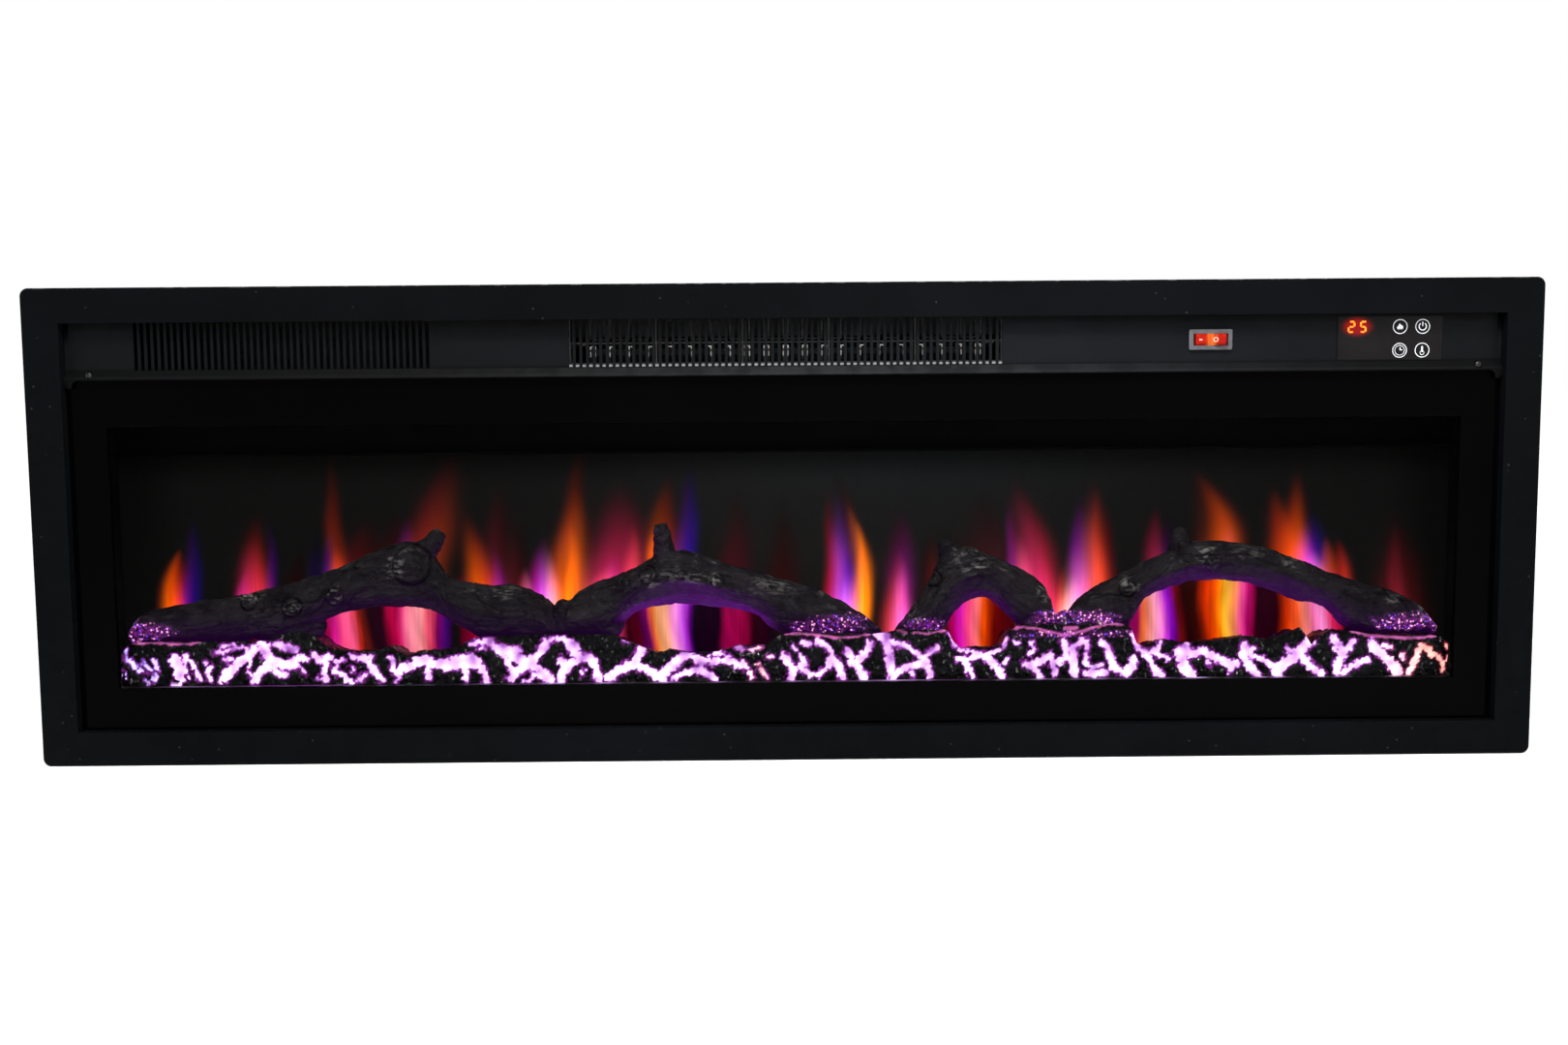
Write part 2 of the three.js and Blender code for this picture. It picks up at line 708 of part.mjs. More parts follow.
function makeScreen() {
  const halfWidth = chamberHalfWidth + screenSideTuck;
  const shape = rectangle(-halfWidth, halfWidth, -innerZ + gap, shelfBottom - gap, 3);
  return runY(shape, screenFront, screenBack, 2);
}

// The valance hides the top of the flame screen.
function makeValance() {
  const y = screenFront - gap - valanceFromScreen;
  const top = shelfBottom - gap - casingSheet / 2;
  const bottom = bendZ - valanceDrop;
  const section = foldedSheet([
    [y - valanceTop, top], [y, top], [y, bottom], [y - valanceHem, bottom + valanceHemRise],
  ], casingSheet);
  return runX(section, -chamberHalfWidth + gap, chamberHalfWidth - gap);
}

const chamber = assembly();
add(facing, 'front_glass', makeGlass(), tintedGlass);
add(facing, 'glass_rail', makeGlassRail(), zinc);
add(chamber, 'heater_bay_shelf', makeShelf(), zinc);
add(chamber, 'left_chamber_wall', makeChamberWall(-1), insideBlack);
add(chamber, 'right_chamber_wall', makeChamberWall(1), insideBlack);
add(chamber, 'flame_screen', makeScreen(), screenAcrylic);
add(chamber, 'flame_valance', makeValance(), insideBlack);

// ---------------------------------------------------------------- ember bed and logs

// A closed block whose top follows a height function over a grid.
function heightBlock(x0, x1, y0, y1, columns, rows, bottom, top) {
  const position = [];
  const index = [];
  const stride = columns + 1;
  const count = stride * (rows + 1);
  for (const level of [0, 1]) {
    for (let j = 0; j <= rows; j += 1) {
      for (let i = 0; i <= columns; i += 1) {
        const x = THREE.MathUtils.lerp(x0, x1, i / columns);
        const y = THREE.MathUtils.lerp(y0, y1, j / rows);
        position.push(x, y, level ? top(x, y) : bottom);
      }
    }
  }
  const quad = (a, b, c, d) => index.push(a, b, c, a, c, d);
  for (let j = 0; j < rows; j += 1) {
    for (let i = 0; i < columns; i += 1) {
      const a = j * stride + i;
      quad(a + count, a + 1 + count, a + 1 + stride + count, a + stride + count);
      quad(a, a + stride, a + stride + 1, a + 1);
    }
  }
  for (let i = 0; i < columns; i += 1) {
    const rear = rows * stride + i;
    quad(i, i + 1, i + 1 + count, i + count);
    quad(rear + 1, rear, rear + count, rear + 1 + count);
  }
  for (let j = 0; j < rows; j += 1) {
    const left = j * stride;
    const right = left + columns;
    quad(left + stride, left, left + count, left + stride + count);
    quad(right, right + stride, right + stride + count, right + count);
  }
  return solid(meshOf(position, index));
}

function meshOf(position, index) {
  const geometry = new THREE.BufferGeometry();
  geometry.setAttribute('position', new THREE.Float32BufferAttribute(position, 3));
  geometry.setIndex(index);
  return geometry;
}

// The ember bed rises from its front edge, is level where the logs rest and lumpy elsewhere.
function emberHeight(x, y) {
  const into = y - bedFront;
  const across = into / bedDepth;
  const rise = Math.sin(Math.min(1, across / 0.28) * Math.PI / 2);
  const slope = THREE.MathUtils.lerp(bedBottom + bedEdgeHeight, bedSeat, rise);
  const lumps = Math.sin(x * 0.115) * Math.sin(into * 0.21 + x * 0.043) + Math.sin(x * 0.27 + into * 0.13);
  const underLogs = Math.abs(y - logY) < logHalfDepth + 3;
  const bank = THREE.MathUtils.smoothstep(across, 0.88, 1) * bedBank;
  return underLogs ? Math.min(slope, bedSeat) : Math.min(slope + 2.2 * lumps + bank, bedSeat + bedBank);
}

// A moulded shell, open below.
function makeEmberBed() {
  const outer = heightBlock(-bedHalfWidth, bedHalfWidth, bedFront, bedRear, 56, 6, bedBottom, emberHeight);
  const shell = (x, y) => Math.min(emberHeight(x, y), bedSeat) - bedWall;
  const inner = heightBlock(-bedHalfWidth + bedWall, bedHalfWidth - bedWall, bedFront + bedWall,
    bedRear - bedWall, 20, 2, bedBottom - past, shell);
  return cut(outer, inner);
}

// A log is lofted through stations, each [x, underside, top] above the seat, with a barky round
// section, and is cut flat where it rests.
function makeLog(stations, stub) {
  const rings = 30;
  const sides = 10;
  const points = stations.map((station) => new THREE.Vector3(...station));
  const curve = new THREE.CatmullRomCurve3(points, false, 'centripetal');
  const position = [];
  const index = [];
  for (let i = 0; i <= rings; i += 1) {
    const { x, y: low, z: high } = curve.getPoint(i / rings);
    const middle = (low + high) / 2;
    const tall = Math.max((high - low) / 2, 5);
    const deep = Math.min(logHalfDepth, tall * 1.15);
    for (let k = 0; k < sides; k += 1) {
      const angle = 2 * Math.PI * k / sides;
      const bark = 1 - 0.06 * (1 + Math.sin(5 * angle + x * 0.06));
      position.push(x, deep * bark * Math.cos(angle), middle + tall * bark * Math.sin(angle));
    }
  }
  const last = rings * sides;
  for (let i = 0; i < last; i += sides) {
    for (let k = 0; k < sides; k += 1) {
      const next = (k + 1) % sides;
      index.push(i + k, i + sides + next, i + sides + k, i + k, i + next, i + sides + next);
    }
  }
  const tip = position.length / 3;
  const [left, right] = [stations[0], stations[stations.length - 1]];
  position.push(left[0] - 3, 0, (left[1] + left[2]) / 2, right[0] + 3, 0, (right[1] + right[2]) / 2);
  for (let k = 0; k < sides; k += 1) {
    const next = (k + 1) % sides;
    index.push(tip, next, k, tip + 1, last + k, last + next);
  }
  const trunk = solid(meshOf(position, index));
  const ground = block(left[0] - 20, right[0] + 20, -2 * logHalfDepth, 2 * logHalfDepth, -bedSeatHeight, gap);
  return cut(join(trunk, makeStub(...stub)), ground);
}

// A broken branch stub from its root to its tip, both [x, height above the seat].
function makeStub(root, tip, rootRadius, tipRadius) {
  const along = new THREE.Vector3(tip[0] - root[0], 0, tip[1] - root[1]);
  const stub = new THREE.CylinderGeometry(tipRadius, rootRadius, along.length(), 9);
  const upright = new THREE.Vector3(0, 1, 0);
  const turn = new THREE.Quaternion().setFromUnitVectors(upright, along.clone().normalize());
  return solid(stub.applyQuaternion(turn).translate((root[0] + tip[0]) / 2, 0, (root[1] + tip[1]) / 2));
}

function makeEmberTray() {
  const frontLeg = bedFront + casingSheet / 2;
  const rearLeg = bedRear - casingSheet / 2;
  const z = trayTop - casingSheet / 2;
  const section = foldedSheet([
    [frontLeg + trayFold, floorZ], [frontLeg, floorZ], [frontLeg, z],
    [rearLeg, z], [rearLeg, floorZ], [rearLeg - trayFold, floorZ],
  ], casingSheet, 0.8);
  const windows = spread(trayWindowCount, trayWindowPitch).map((x) => block(
    x - trayWindowWidth / 2, x + trayWindowWidth / 2, bedFront + trayWindowMargin, bedRear - trayWindowMargin,
    z - past, z + past));
  return cut(runX(section, -chamberHalfWidth + gap, chamberHalfWidth - gap), ...windows);
}

const logs = [
  { stations: [[-576, 0, 18], [-566, 0, 29], [-540, 0, 35], [-500, 0, 42], [-455, 3, 50], [-418, 14, 60],
    [-385, 27, 71], [-348, 30, 88], [-318, 28, 89], [-299, 22, 62], [-284, 12, 56], [-266, 0, 53],
    [-241, 0, 51], [-217, 0, 43], [-204, 0, 26]],
  stub: [[-322, 74], [-302, 97], 13, 6] },
  { stations: [[-196, 0, 20], [-189, 0, 40], [-170, 0, 52], [-152, 8, 59], [-132, 25, 66], [-112, 29, 77],
    [-90, 31, 82], [-60, 29, 71], [-28, 21, 62], [-8, 5, 56], [24, 0, 47], [49, 0, 34], [72, 0, 18],
    [82, 0, 8]],
  stub: [[-106, 72], [-110, 103], 11, 6] },
  { stations: [[98, 0, 11], [108, 0, 25], [122, 1, 44], [138, 8, 74], [158, 31, 82], [178, 34, 75],
    [197, 16, 66], [212, 0, 60], [227, 0, 47], [236, 0, 22]],
  stub: [[146, 66], [140, 87], 12, 7] },
  { stations: [[246, 0, 20], [256, 0, 33], [276, 0, 47], [300, 8, 59], [314, 32, 66], [340, 44, 77],
    [362, 48, 85], [404, 46, 82], [427, 39, 77], [451, 30, 68], [475, 23, 58], [490, 8, 53],
    [508, 0, 47], [540, 0, 37], [562, 0, 22], [572, 0, 9]],
  stub: [[348, 72], [345, 94], 12, 6] },
];

add(chamber, 'ember_bed', makeEmberBed(), emberResin);
add(chamber, 'ember_tray', makeEmberTray(), zinc);
logs.forEach(({ stations, stub }, i) => {
  add(chamber, `log_${i + 1}`, makeLog(stations, stub), logResin, 0, logY, bedSeat);
});

// ---------------------------------------------------------------- flame light and flicker rotor

function makeLedStrip(halfLength) {
  const strip = block(-halfLength, halfLength, -ledStripWidth / 2, ledStripWidth / 2, 0, ledStripSheet);
  const leds = spread(ledCount, 2 * halfLength / ledCount).map((x) => block(
    x - ledWidth / 2, x + ledWidth / 2, -ledDepth / 2, ledDepth / 2, ledStripSheet / 2, ledHeight));
  return join(strip, ...leds);
}

function makeFlameLedBracket() {
  const near = screenBack + ledFromScreen - ledStripWidth;
  const back = behindY - casingSheet / 2;
  const section = foldedSheet([
    [near, floorZ], [back, floorZ], [back, flameLedZ], [near, flameLedZ],
  ], casingSheet);
  return runX(section, -flameLedHalfLength, flameLedHalfLength);
}

// Bright flags along a rod, each turned on from the last, throw the moving flame light.
function makeFlickerRotor() {
  const rod = rodX(flickerRodRadius, -flickerRodHalfLength, flickerRodHalfLength, 0, 0, 12);
  const count = Math.floor(2 * (flickerRodHalfLength - flickerFlagMargin) / flickerFlagPitch);
  const half = flickerFlagWidth / 2;
  const tip = half - flickerFlagTaper;
  const flag = outline([[-half, flickerFlagRoot], [-tip, flickerFlagReach], [tip, flickerFlagReach],
    [half, flickerFlagRoot], [tip, -flickerFlagReach], [-tip, -flickerFlagReach]]);
  const flags = spread(count, flickerFlagPitch).map((x, i) =>
    runY(flag, -flickerFlagSheet / 2, flickerFlagSheet / 2)
      .rotate([flickerFlagTwist * i, 0, 0]).translate([x, 0, 0]));
  return join(rod, ...flags);
}

const motorBoltZ = flickerMotorRadius + flickerBoltOffset;

function motorBolts(x0, x1) {
  return [-1, 1].map((up) => rodX(flickerBoltRadius, x0, x1, 0, up * motorBoltZ, 8));
}

// A flat synchronous gear motor: a round can with two ears and a boss round its shaft.
function makeFlickerMotor() {
  const can = turnedX([[0, 0], [flickerMotorRadius - 1, 0], [flickerMotorRadius, 1],
    [flickerMotorRadius, flickerMotorLength], [0, flickerMotorLength]], 20);
  const boss = rodX(flickerBossRadius, -flickerBoss, 1);
  const earHalfWidth = flickerMotorRadius - 4;
  const earHalfHeight = flickerMotorRadius + 8;
  const ears = runX(rectangle(-earHalfWidth, earHalfWidth, -earHalfHeight, earHalfHeight, 5), 0,
    flickerEarSheet, 2);
  const socket = rodX(flickerShaftRadius + gap, -flickerBoss - 1, flickerShaftSocket + gap, 0, 0, 14);
  return cut(join(can, boss, ears), ...motorBolts(-past, past), socket);
}

// An upright angle on the casing's floor, in the flicker rotor's own frame.
function standingAngle(foot, halfWidth, top) {
  const section = foldedSheet([[foot, flickerFoot], [0, flickerFoot], [0, top]], casingSheet);
  return runY(section, -halfWidth, halfWidth);
}

function makeFlickerMotorBracket() {
  const plate = standingAngle(-20, flickerMotorRadius - 4, flickerMotorRadius + 10);
  return cut(plate, rodX(flickerBossRadius + 1, -past, past), ...motorBolts(-past, past));
}

function makeFlickerBearing() {
  const plate = standingAngle(14, 12, 12);
  const bush = rodX(bushRadius, -bushHalfLength, bushHalfLength);
  const bore = rodX(flickerRodRadius + gap, -bushHalfLength - past, bushHalfLength + past, 0, 0, 20);
  return cut(join(plate, bush), bore);
}

// Rubber sleeve between the rod and the motor's shaft.
function makeFlickerCoupling() {
  const start = flickerRodHalfLength - sleeveGrip;
  const end = flickerMotorX - flickerBoss - gap;
  return cut(rodX(sleeveRadius, start, end),
    rodX(flickerRodRadius + gap, start - past, flickerRodHalfLength + gap),
    rodX(flickerShaftRadius + gap, start, end + past, 0, 0, 14));
}

const flicker = assembly(0, -flickerAxisFromBack, flickerZ);
add(chamber, 'flame_led_bracket', makeFlameLedBracket(), zinc);
add(chamber, 'flame_led_strip', makeLedStrip(flameLedHalfLength - 10), ledBoard,
  0, screenBack + ledFromScreen, flameLedZ + casingSheet / 2 + gap);
add(chamber, 'ember_led_strip', makeLedStrip(bedHalfWidth - 30), ledBoard,
  0, (bedFront + bedRear) / 2, -innerZ + gap);
add(flicker, 'flicker_rotor', makeFlickerRotor(), mirrorFoil);
add(flicker, 'flicker_motor', makeFlickerMotor(), brightSteel, flickerMotorX);
add(flicker, 'flicker_motor_shaft', rodX(flickerShaftRadius, flickerRodHalfLength + 2 * gap,
  flickerMotorX + flickerShaftSocket, 0, 0, 14), brightSteel);
add(flicker, 'flicker_coupling', makeFlickerCoupling(), darkPlastic);
add(flicker, 'flicker_motor_bracket', makeFlickerMotorBracket(), zinc, flickerMotorX - gap - casingSheet / 2);
add(flicker, 'flicker_end_bracket', makeFlickerBearing(), zinc, -flickerRodHalfLength + 2 * bushHalfLength);

// ---------------------------------------------------------------- blower

// Section of the blower sheet: the scroll runs from the outlet's floor under and behind the impeller.
function scrollSection() {
  const floor = ductFloor - blowerZ - blowerSheet / 2;
  const corners = [[ductFront - blowerY, floor], [0, floor]];
  for (let i = 1; i <= scrollSteps; i += 1) {
    const angle = -Math.PI / 2 + i * toRadians(scrollTurn) / scrollSteps;
    const radius = -floor - scrollTaper * i / scrollSteps;
    corners.push([radius * Math.cos(angle), radius * Math.sin(angle)]);
  }
  return foldedSheet(corners, blowerSheet, 0.4, 1);
}

// The tongue: the outlet's roof, turned down and back close to the impeller.
function tongueSection() {
  const roof = ductRoof - blowerZ - blowerSheet / 2;
  const nose = -(impellerRadius + tongueGap);
  return foldedSheet([[ductFront - blowerY, roof], [nose, roof], [nose, tongueHeight]], blowerSheet, 1.2);
}

function makeBlowerHousing() {
  const wall = blowerDuctHalfWidth;
  const radius = impellerRadius + blowerScrollGap + blowerSheet;
  const cheek = new THREE.Shape();
  cheek.moveTo(ductFront - blowerY, -radius);
  cheek.lineTo(0, -radius);
  cheek.absarc(0, 0, radius, -Math.PI / 2, Math.PI / 2);
  cheek.lineTo(-radius, ductRoof - blowerZ);
  cheek.lineTo(ductFront - blowerY, ductRoof - blowerZ);
  cheek.closePath();
  const bearingHole = rodX(bearingRadius + gap, -cheekX - past, past - wall);
  const shaftHole = rodX(bearingRadius + 2, wall - past, cheekX + past);
  const bearingCheek = cut(runX(cheek, -cheekX, -wall, 10), bearingHole);
  const motorCheek = cut(runX(cheek, wall, cheekX, 10), shaftHole);
  const overlap = blowerSheet / 2;
  const spans = [scrollSection(), tongueSection()].map((section) =>
    runX(section, -wall - overlap, wall + overlap));
  const front = ductFront - blowerY;
  const floor = ductFloor - blowerZ;
  const upstand = block(-wall - overlap, wall + overlap, front, front + blowerSheet, floor - overlap,
    floor + outletUpstand);
  return join(bearingCheek, motorCheek, upstand, ...spans);
}

// A flanged bush in the bearing cheek, about the left end of the wheel's shaft.
function makeBlowerBearing() {
  const bore = blowerShaftRadius + gap;
  const collar = -cheekX - gap;
  return turnedX([[bore, collar - 5], [bearingRadius - 1, collar - 5], [bearingRadius, collar - 4],
    [bearingRadius + 2, collar - 2], [bearingRadius + 2, collar], [bearingRadius, collar],
    [bearingRadius, collar + 3], [bore, collar + 3], [bore, collar - 5]]);
}

// One forward-curved blade, as a bent strip seen along the shaft.
function bladeSection(turn) {
  const corners = [0, 0.5, 1].map((share) => {
    const radius = impellerRadius - impellerBladeDepth * (1 - share);
    const angle = turn + toRadians(impellerBladeCurl) * share * share;
    return [radius * Math.cos(angle), radius * Math.sin(angle)];
  });
  return foldedSheet(corners, impellerBladeSheet, 0);
}

// The wheel: bent blades between two discs, with a stiffening ring midway and a hub at each end.
function makeImpeller() {
  const sections = spread(impellerBlades, 2 * Math.PI / impellerBlades).map(bladeSection);
  const cage = sections.map((section) => runX(section, -impellerHalfLength, impellerHalfLength));
  const rim = impellerRadius + impellerRim;
  const end = impellerHalfLength;
  const discs = [-1, 1].map((side) => mirrorX(rodX(rim, end - impellerDisc, end, 0, 0, 24), side));
  const ring = cut(rodX(rim, -impellerDisc / 2, impellerDisc / 2, 0, 0, 24),
    rodX(impellerRadius - impellerBladeDepth, -impellerDisc, impellerDisc, 0, 0, 24));
  const hubs = [-1, 1].map((side) => mirrorX(rodX(hubRadius, end - hubLength, end), side));
  const bore = rodX(blowerShaftRadius + gap, end - hubLength - past, end + past);
  return cut(join(...cage, ...discs, ring, ...hubs), bore, mirrorX(bore, -1));
}

// The motor's C frame: an upright lamination stack with a bore for the rotor and a slot for the coil.
function makeMotorCore() {
  const half = motorCoreHalfHeight;
  const stack = runX(rectangle(-motorCoreNear, motorCoreFar, -half, half, 2), coreX, coreEnd, 3);
  const slotHalf = half - motorCoreLimb;
  const slot = rectangle(motorCoreNear, motorCoreFar - coilLimb, -slotHalf, slotHalf, 1);
  const bore = rodX(motorRotorRadius + motorAirGap, coreX - past, coreEnd + past, 0, 0, 24);
  return cut(stack, runX(slot, coreX - past, coreEnd + past, 3), bore);
}

function makeMotorCoil() {
  const high = motorCoreHalfHeight - motorCoreLimb - gap;
  const near = motorCoreFar - coilLimb - gap;
  const far = motorCoreFar + gap;
  const winding = rectangle(coreX - coilBuild, coreEnd + coilBuild, near - coilBuild, far + coilBuild, 5);
  const limb = rectangle(coreX - gap, coreEnd + gap, near, far, 0.5);
  return cut(runZ(winding, -high, high, 4), runZ(limb, -high - past, high + past, 2));
}

// Pressed bearing bracket: a strap over the core with a dome that holds the shaft's bush.
function makeMotorBracket() {
  const dome = motorRotorRadius + domeMargin;
  const bore = blowerShaftRadius + gap;
  const strap = cut(runX(centred(2 * strapHalfWidth, 2 * motorCoreHalfHeight, 3), gap, gap + strapSheet, 3),
    rodX(dome - strapSheet, -past, past));
  const shell = turnedX([[dome - 2, gap], [dome, gap], [dome, 3.5], [domeBush, 6], [domeBush, domeLength],
    [bore, domeLength], [bore, 4.4], [dome - 2, 2.4], [dome - 2, gap]]);
  return join(strap, shell);
}

// The inner bracket also carries the posts that hold the motor off the blower's cheek.
function makeInnerBracket() {
  const posts = [-1, 1].map((up) => rodX(postRadius, 1, motorOffset - gap, 0,
    up * (motorCoreHalfHeight - domeMargin), 12));
  return mirrorX(join(makeMotorBracket(), ...posts), -1);
}

const blower = assembly(outletCentreX, blowerY, blowerZ);
const impellerPin = rodX(blowerShaftRadius, -cheekX - gap - 4, -impellerHalfLength + shaftGrip);
const motorShaft = rodX(blowerShaftRadius, impellerHalfLength - shaftGrip, coreEnd + domeLength + 2);
const rotorBore = rodX(blowerShaftRadius + gap, coreX - past, coreEnd + past);
add(blower, 'blower_housing', makeBlowerHousing(), zinc);
add(blower, 'blower_bearing', makeBlowerBearing(), darkPlastic);
add(blower, 'blower_impeller', makeImpeller(), insideBlack);
add(blower, 'impeller_pin', impellerPin, brightSteel);
add(blower, 'motor_shaft', motorShaft, brightSteel);
add(blower, 'motor_rotor', cut(rodX(motorRotorRadius, coreX, coreEnd, 0, 0, 24), rotorBore), brightSteel);
add(blower, 'motor_core', makeMotorCore(), motorIron);
add(blower, 'motor_coil', makeMotorCoil(), copper);
add(blower, 'motor_inner_bracket', makeInnerBracket(), zinc, coreX);
add(blower, 'motor_outer_bracket', makeMotorBracket(), zinc, coreEnd);

// ---------------------------------------------------------------- heating elements

// A row of hairpins in one wire, drawn as a flat strip between two heights.
function makeElement(low, high) {
  const half = elementHairpin / 2;
  const line = spread(elementCount, elementPitch).flatMap((x) =>
    [[x - half, low], [x - half, high], [x + half, high], [x + half, low]]);
  return runY(foldedSheet(line, elementWire, 0), elementY - elementWire / 2, elementY + elementWire / 2);
}

// Mica ribs and a middle board, slotted for the two wires.
function makeHeaterFrame() {
  const near = ductFront + heaterFrameFront;
  const far = elementY + heaterFrameRear;
  const half = blowerDuctHalfWidth - gap;
  const sheet = micaSheet / 2;
  const board = block(-half, half, near, far, micaMiddle - sheet, micaMiddle + sheet);
  const ribs = spread(heaterRibs, 2 * (half - sheet) / (heaterRibs - 1)).map((x) =>
    block(x - sheet, x + sheet, near, far, ribLow, ribHigh));
  const reach = elementWire / 2 + gap;
  const end = half - heaterFrameEnd;
  const passes = [lowerElement, upperElement].map(([low, high]) =>
    block(-end, end, elementY - reach, elementY + reach, low - reach, high + reach));
  return cut(join(board, ...ribs), ...passes);
}

// A snap-disc thermostat against the blower's cheek.
function makeThermalCutout() {
  const profile = [[0, -9], [5, -9], [5, -6], [8, -6], [8, -1.5], [10, -1.5], [10, 0], [0, 0]];
  return turnedX(profile, 20);
}

const heater = assembly(outletCentreX, 0, 0);
add(heater, 'heater_frame', makeHeaterFrame(), mica);
add(heater, 'heating_element_lower', makeElement(...lowerElement), heatingWire);
add(heater, 'heating_element_upper', makeElement(...upperElement), heatingWire);
add(heater, 'thermal_cutout', makeThermalCutout(), darkPlastic, -cheekX - gap, elementY, blowerZ);

// ---------------------------------------------------------------- switch

function makeSwitchBody() {
  const bezel = runY(centred(bezelWidth, bezelHeight, bezelCorner), bezelFront, switchFace, 3, 0.5);
  const rear = switchFace + switchBodyDepth;
  const body = runY(centred(switchBodyWidth, switchBodyHeight), switchFace - 0.5, rear);
  const blades = spread(3, switchBladePitch).map((x) =>
    block(x - 0.4, x + 0.4, rear - 1, rear + switchBladeLength, -3.1, 3.1));
  const well = runY(centred(2 * (paddleReach + gap), paddleHeight + 2 * gap), bezelFront - past,
    pivotY + wellDepth);
  const pinReach = paddleHeight / 2 + paddlePinLength + gap;
  const pinHole = rodZ(paddlePinRadius + gap, -pinReach, pinReach, 0, pivotY, 20);
  return cut(join(bezel, body, ...blades), well, pinHole);
}

// The rocker about its pivot: two flat faces that meet at an angle, and ends that are arcs, so that
// it swings inside its well. Its left half lies level with the bezel when it is on.
function makePaddle() {
  const faceY = bezelFront + paddleSetback - pivotY;
  const lean = toRadians(paddleTravel);
  const rise = -faceY * Math.sin(lean);
  const raised = Math.sqrt(rise ** 2 + paddleReach ** 2 - faceY ** 2) - rise;
  const raisedTip = Math.atan2(faceY - raised * Math.sin(lean), raised * Math.cos(lean));
  const levelTip = Math.asin(-faceY / paddleReach) - Math.PI;
  const heel = toRadians(paddleHeel);
  const shape = new THREE.Shape();
  shape.absarc(0, 0, paddleReach, levelTip, -Math.PI - heel, true);
  shape.lineTo(0, paddleBack);
  shape.absarc(0, 0, paddleReach, heel, raisedTip, true);
  shape.lineTo(0, faceY);
  shape.closePath();
  const pinReach = paddleHeight / 2 + paddlePinLength;
  return join(runZ(shape, -paddleHeight / 2, paddleHeight / 2, 5),
    rodZ(paddlePinRadius, -pinReach, pinReach, 0, 0, 16));
}

const mainSwitch = assembly(switchX, 0, switchZ);
add(mainSwitch, 'switch_body', makeSwitchBody(), lightPlastic);
add(mainSwitch, 'rocker_paddle', makePaddle(), redLens, 0, pivotY, 0);

// ---------------------------------------------------------------- touch film and display

function makeFilm() {
  const shape = rectangle(filmLeft, filmRight, filmBottom, filmTop, filmCorner);
  return runY(shape, fasciaFront - filmGap - filmSheet, fasciaFront - filmGap, 3);
}

// The display board stands on four posts behind the fascia.
function makeDisplayBoard() {
  const y = fasciaBack + displayBoardDepth;
  const low = filmBottom + displayBoardMargin;
  const board = block(filmLeft + displayBoardMargin, filmRight, y, y + boardThickness, low, filmTop);
  const posts = [filmLeft + 4, filmRight - 4].flatMap((x) => [low + 6, filmTop - 4].map((z) =>
    rodY(displayPostRadius, fasciaBack + gap, y + 0.5, x, z)));
  return join(board, ...posts);
}

function makeDigitDisplay() {
  const shape = centred(digitsWidth, digitsHeight);
  return runY(shape, fasciaFront + gap, fasciaBack + displayBoardDepth - gap);
}

const controls = assembly();
add(controls, 'touch_film', makeFilm(), filmBlack);
add(controls, 'display_board', makeDisplayBoard(), circuitBoard);
add(controls, 'digit_display', makeDigitDisplay(), displayLens, digitsX, 0, digitsZ);

// ---------------------------------------------------------------- control board and mains inlet

// The board's top face is at height zero in its own frame, and its posts stand on the shelf.
function makeControlBoard() {
  const foot = -boardThickness - boardStandoff;
  const postX = boardWidth / 2 - boardPostInset;
  const postY = boardDepth / 2 - boardPostInset;
  const board = runZ(centred(boardWidth, boardDepth), -boardThickness, 0);
  const posts = [-1, 1].flatMap((i) => [-1, 1].map((j) =>
    rodZ(boardPostRadius, foot, -boardThickness / 2, i * postX, j * postY, 8)));
  return join(board, ...posts);
}

function makeTransformer() {
  const core = block(-20, 20, -8, 8, gap, gap + transformerHeight);
  const bobbin = runZ(rectangle(-13, 13, -17, 17, 5), gap + 5, gap + transformerHeight - 5, 4);
  return join(core, bobbin);
}

function makeRelay() {
  return runZ(centred(19, 15.4, 1), gap, gap + relayHeight, 1);
}

function makeTerminalBlock() {
  const ways = spread(terminalWays, terminalPitch);
  const body = block(-20, 20, -8, 8, gap, gap + terminalHeight);
  const wells = ways.map((x) => rodZ(3, terminalHeight / 2, terminalHeight + past, x, 2));
  const throats = ways.map((x) => block(x - 2.6, x + 2.6, -9, -3, 2, terminalHeight / 2));
  return cut(body, ...wells, ...throats);
}

// Cable gland: a hexagon collar outside the casing, a nut inside and a bore for the mains lead.
function makeGland() {
  const thread = glandBore + glandWall;
  const outside = gap;
  const inside = -casingSheet - gap;
  const collar = runX(hexagon(9.5), outside, outside + 5);
  const dome = turnedX([[0, outside + 4], [8, outside + 4], [8, outside + 9], [6, outside + 11.5],
    [0, outside + 11.5]]);
  const nut = runX(hexagon(10.5), inside - 4, inside);
  const barrel = rodX(thread, inside - 8, outside + 1);
  return cut(join(collar, dome, barrel, nut), rodX(glandBore, inside - 8 - past, outside + 11.5 + past));
}

const board = assembly(boardX, -boardFromBack, boardTop);
add(board, 'control_board', makeControlBoard(), circuitBoard);
add(board, 'transformer', makeTransformer(), varnishedIron, -45, 12);
add(board, 'heater_relay_low', makeRelay(), relayBlue, -4, 22);
add(board, 'heater_relay_high', makeRelay(), relayBlue, 22, 22);
add(board, 'terminal_block', makeTerminalBlock(), terminalGreen, 45, -26);
add(casing, 'cable_gland', makeGland(), darkPlastic, casingX, -glandFromBack, casingZ - glandBelowCover);

export default fireplace;
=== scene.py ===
"""Looks for a wall-mounted electric fireplace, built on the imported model.

Everything is in metres, in the model's own frame: x along the front, y going
back into the wall, z up, with the middle of the front at x = 0, z = 0.
"""

import math

import bpy
import numpy as np
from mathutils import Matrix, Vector, noise


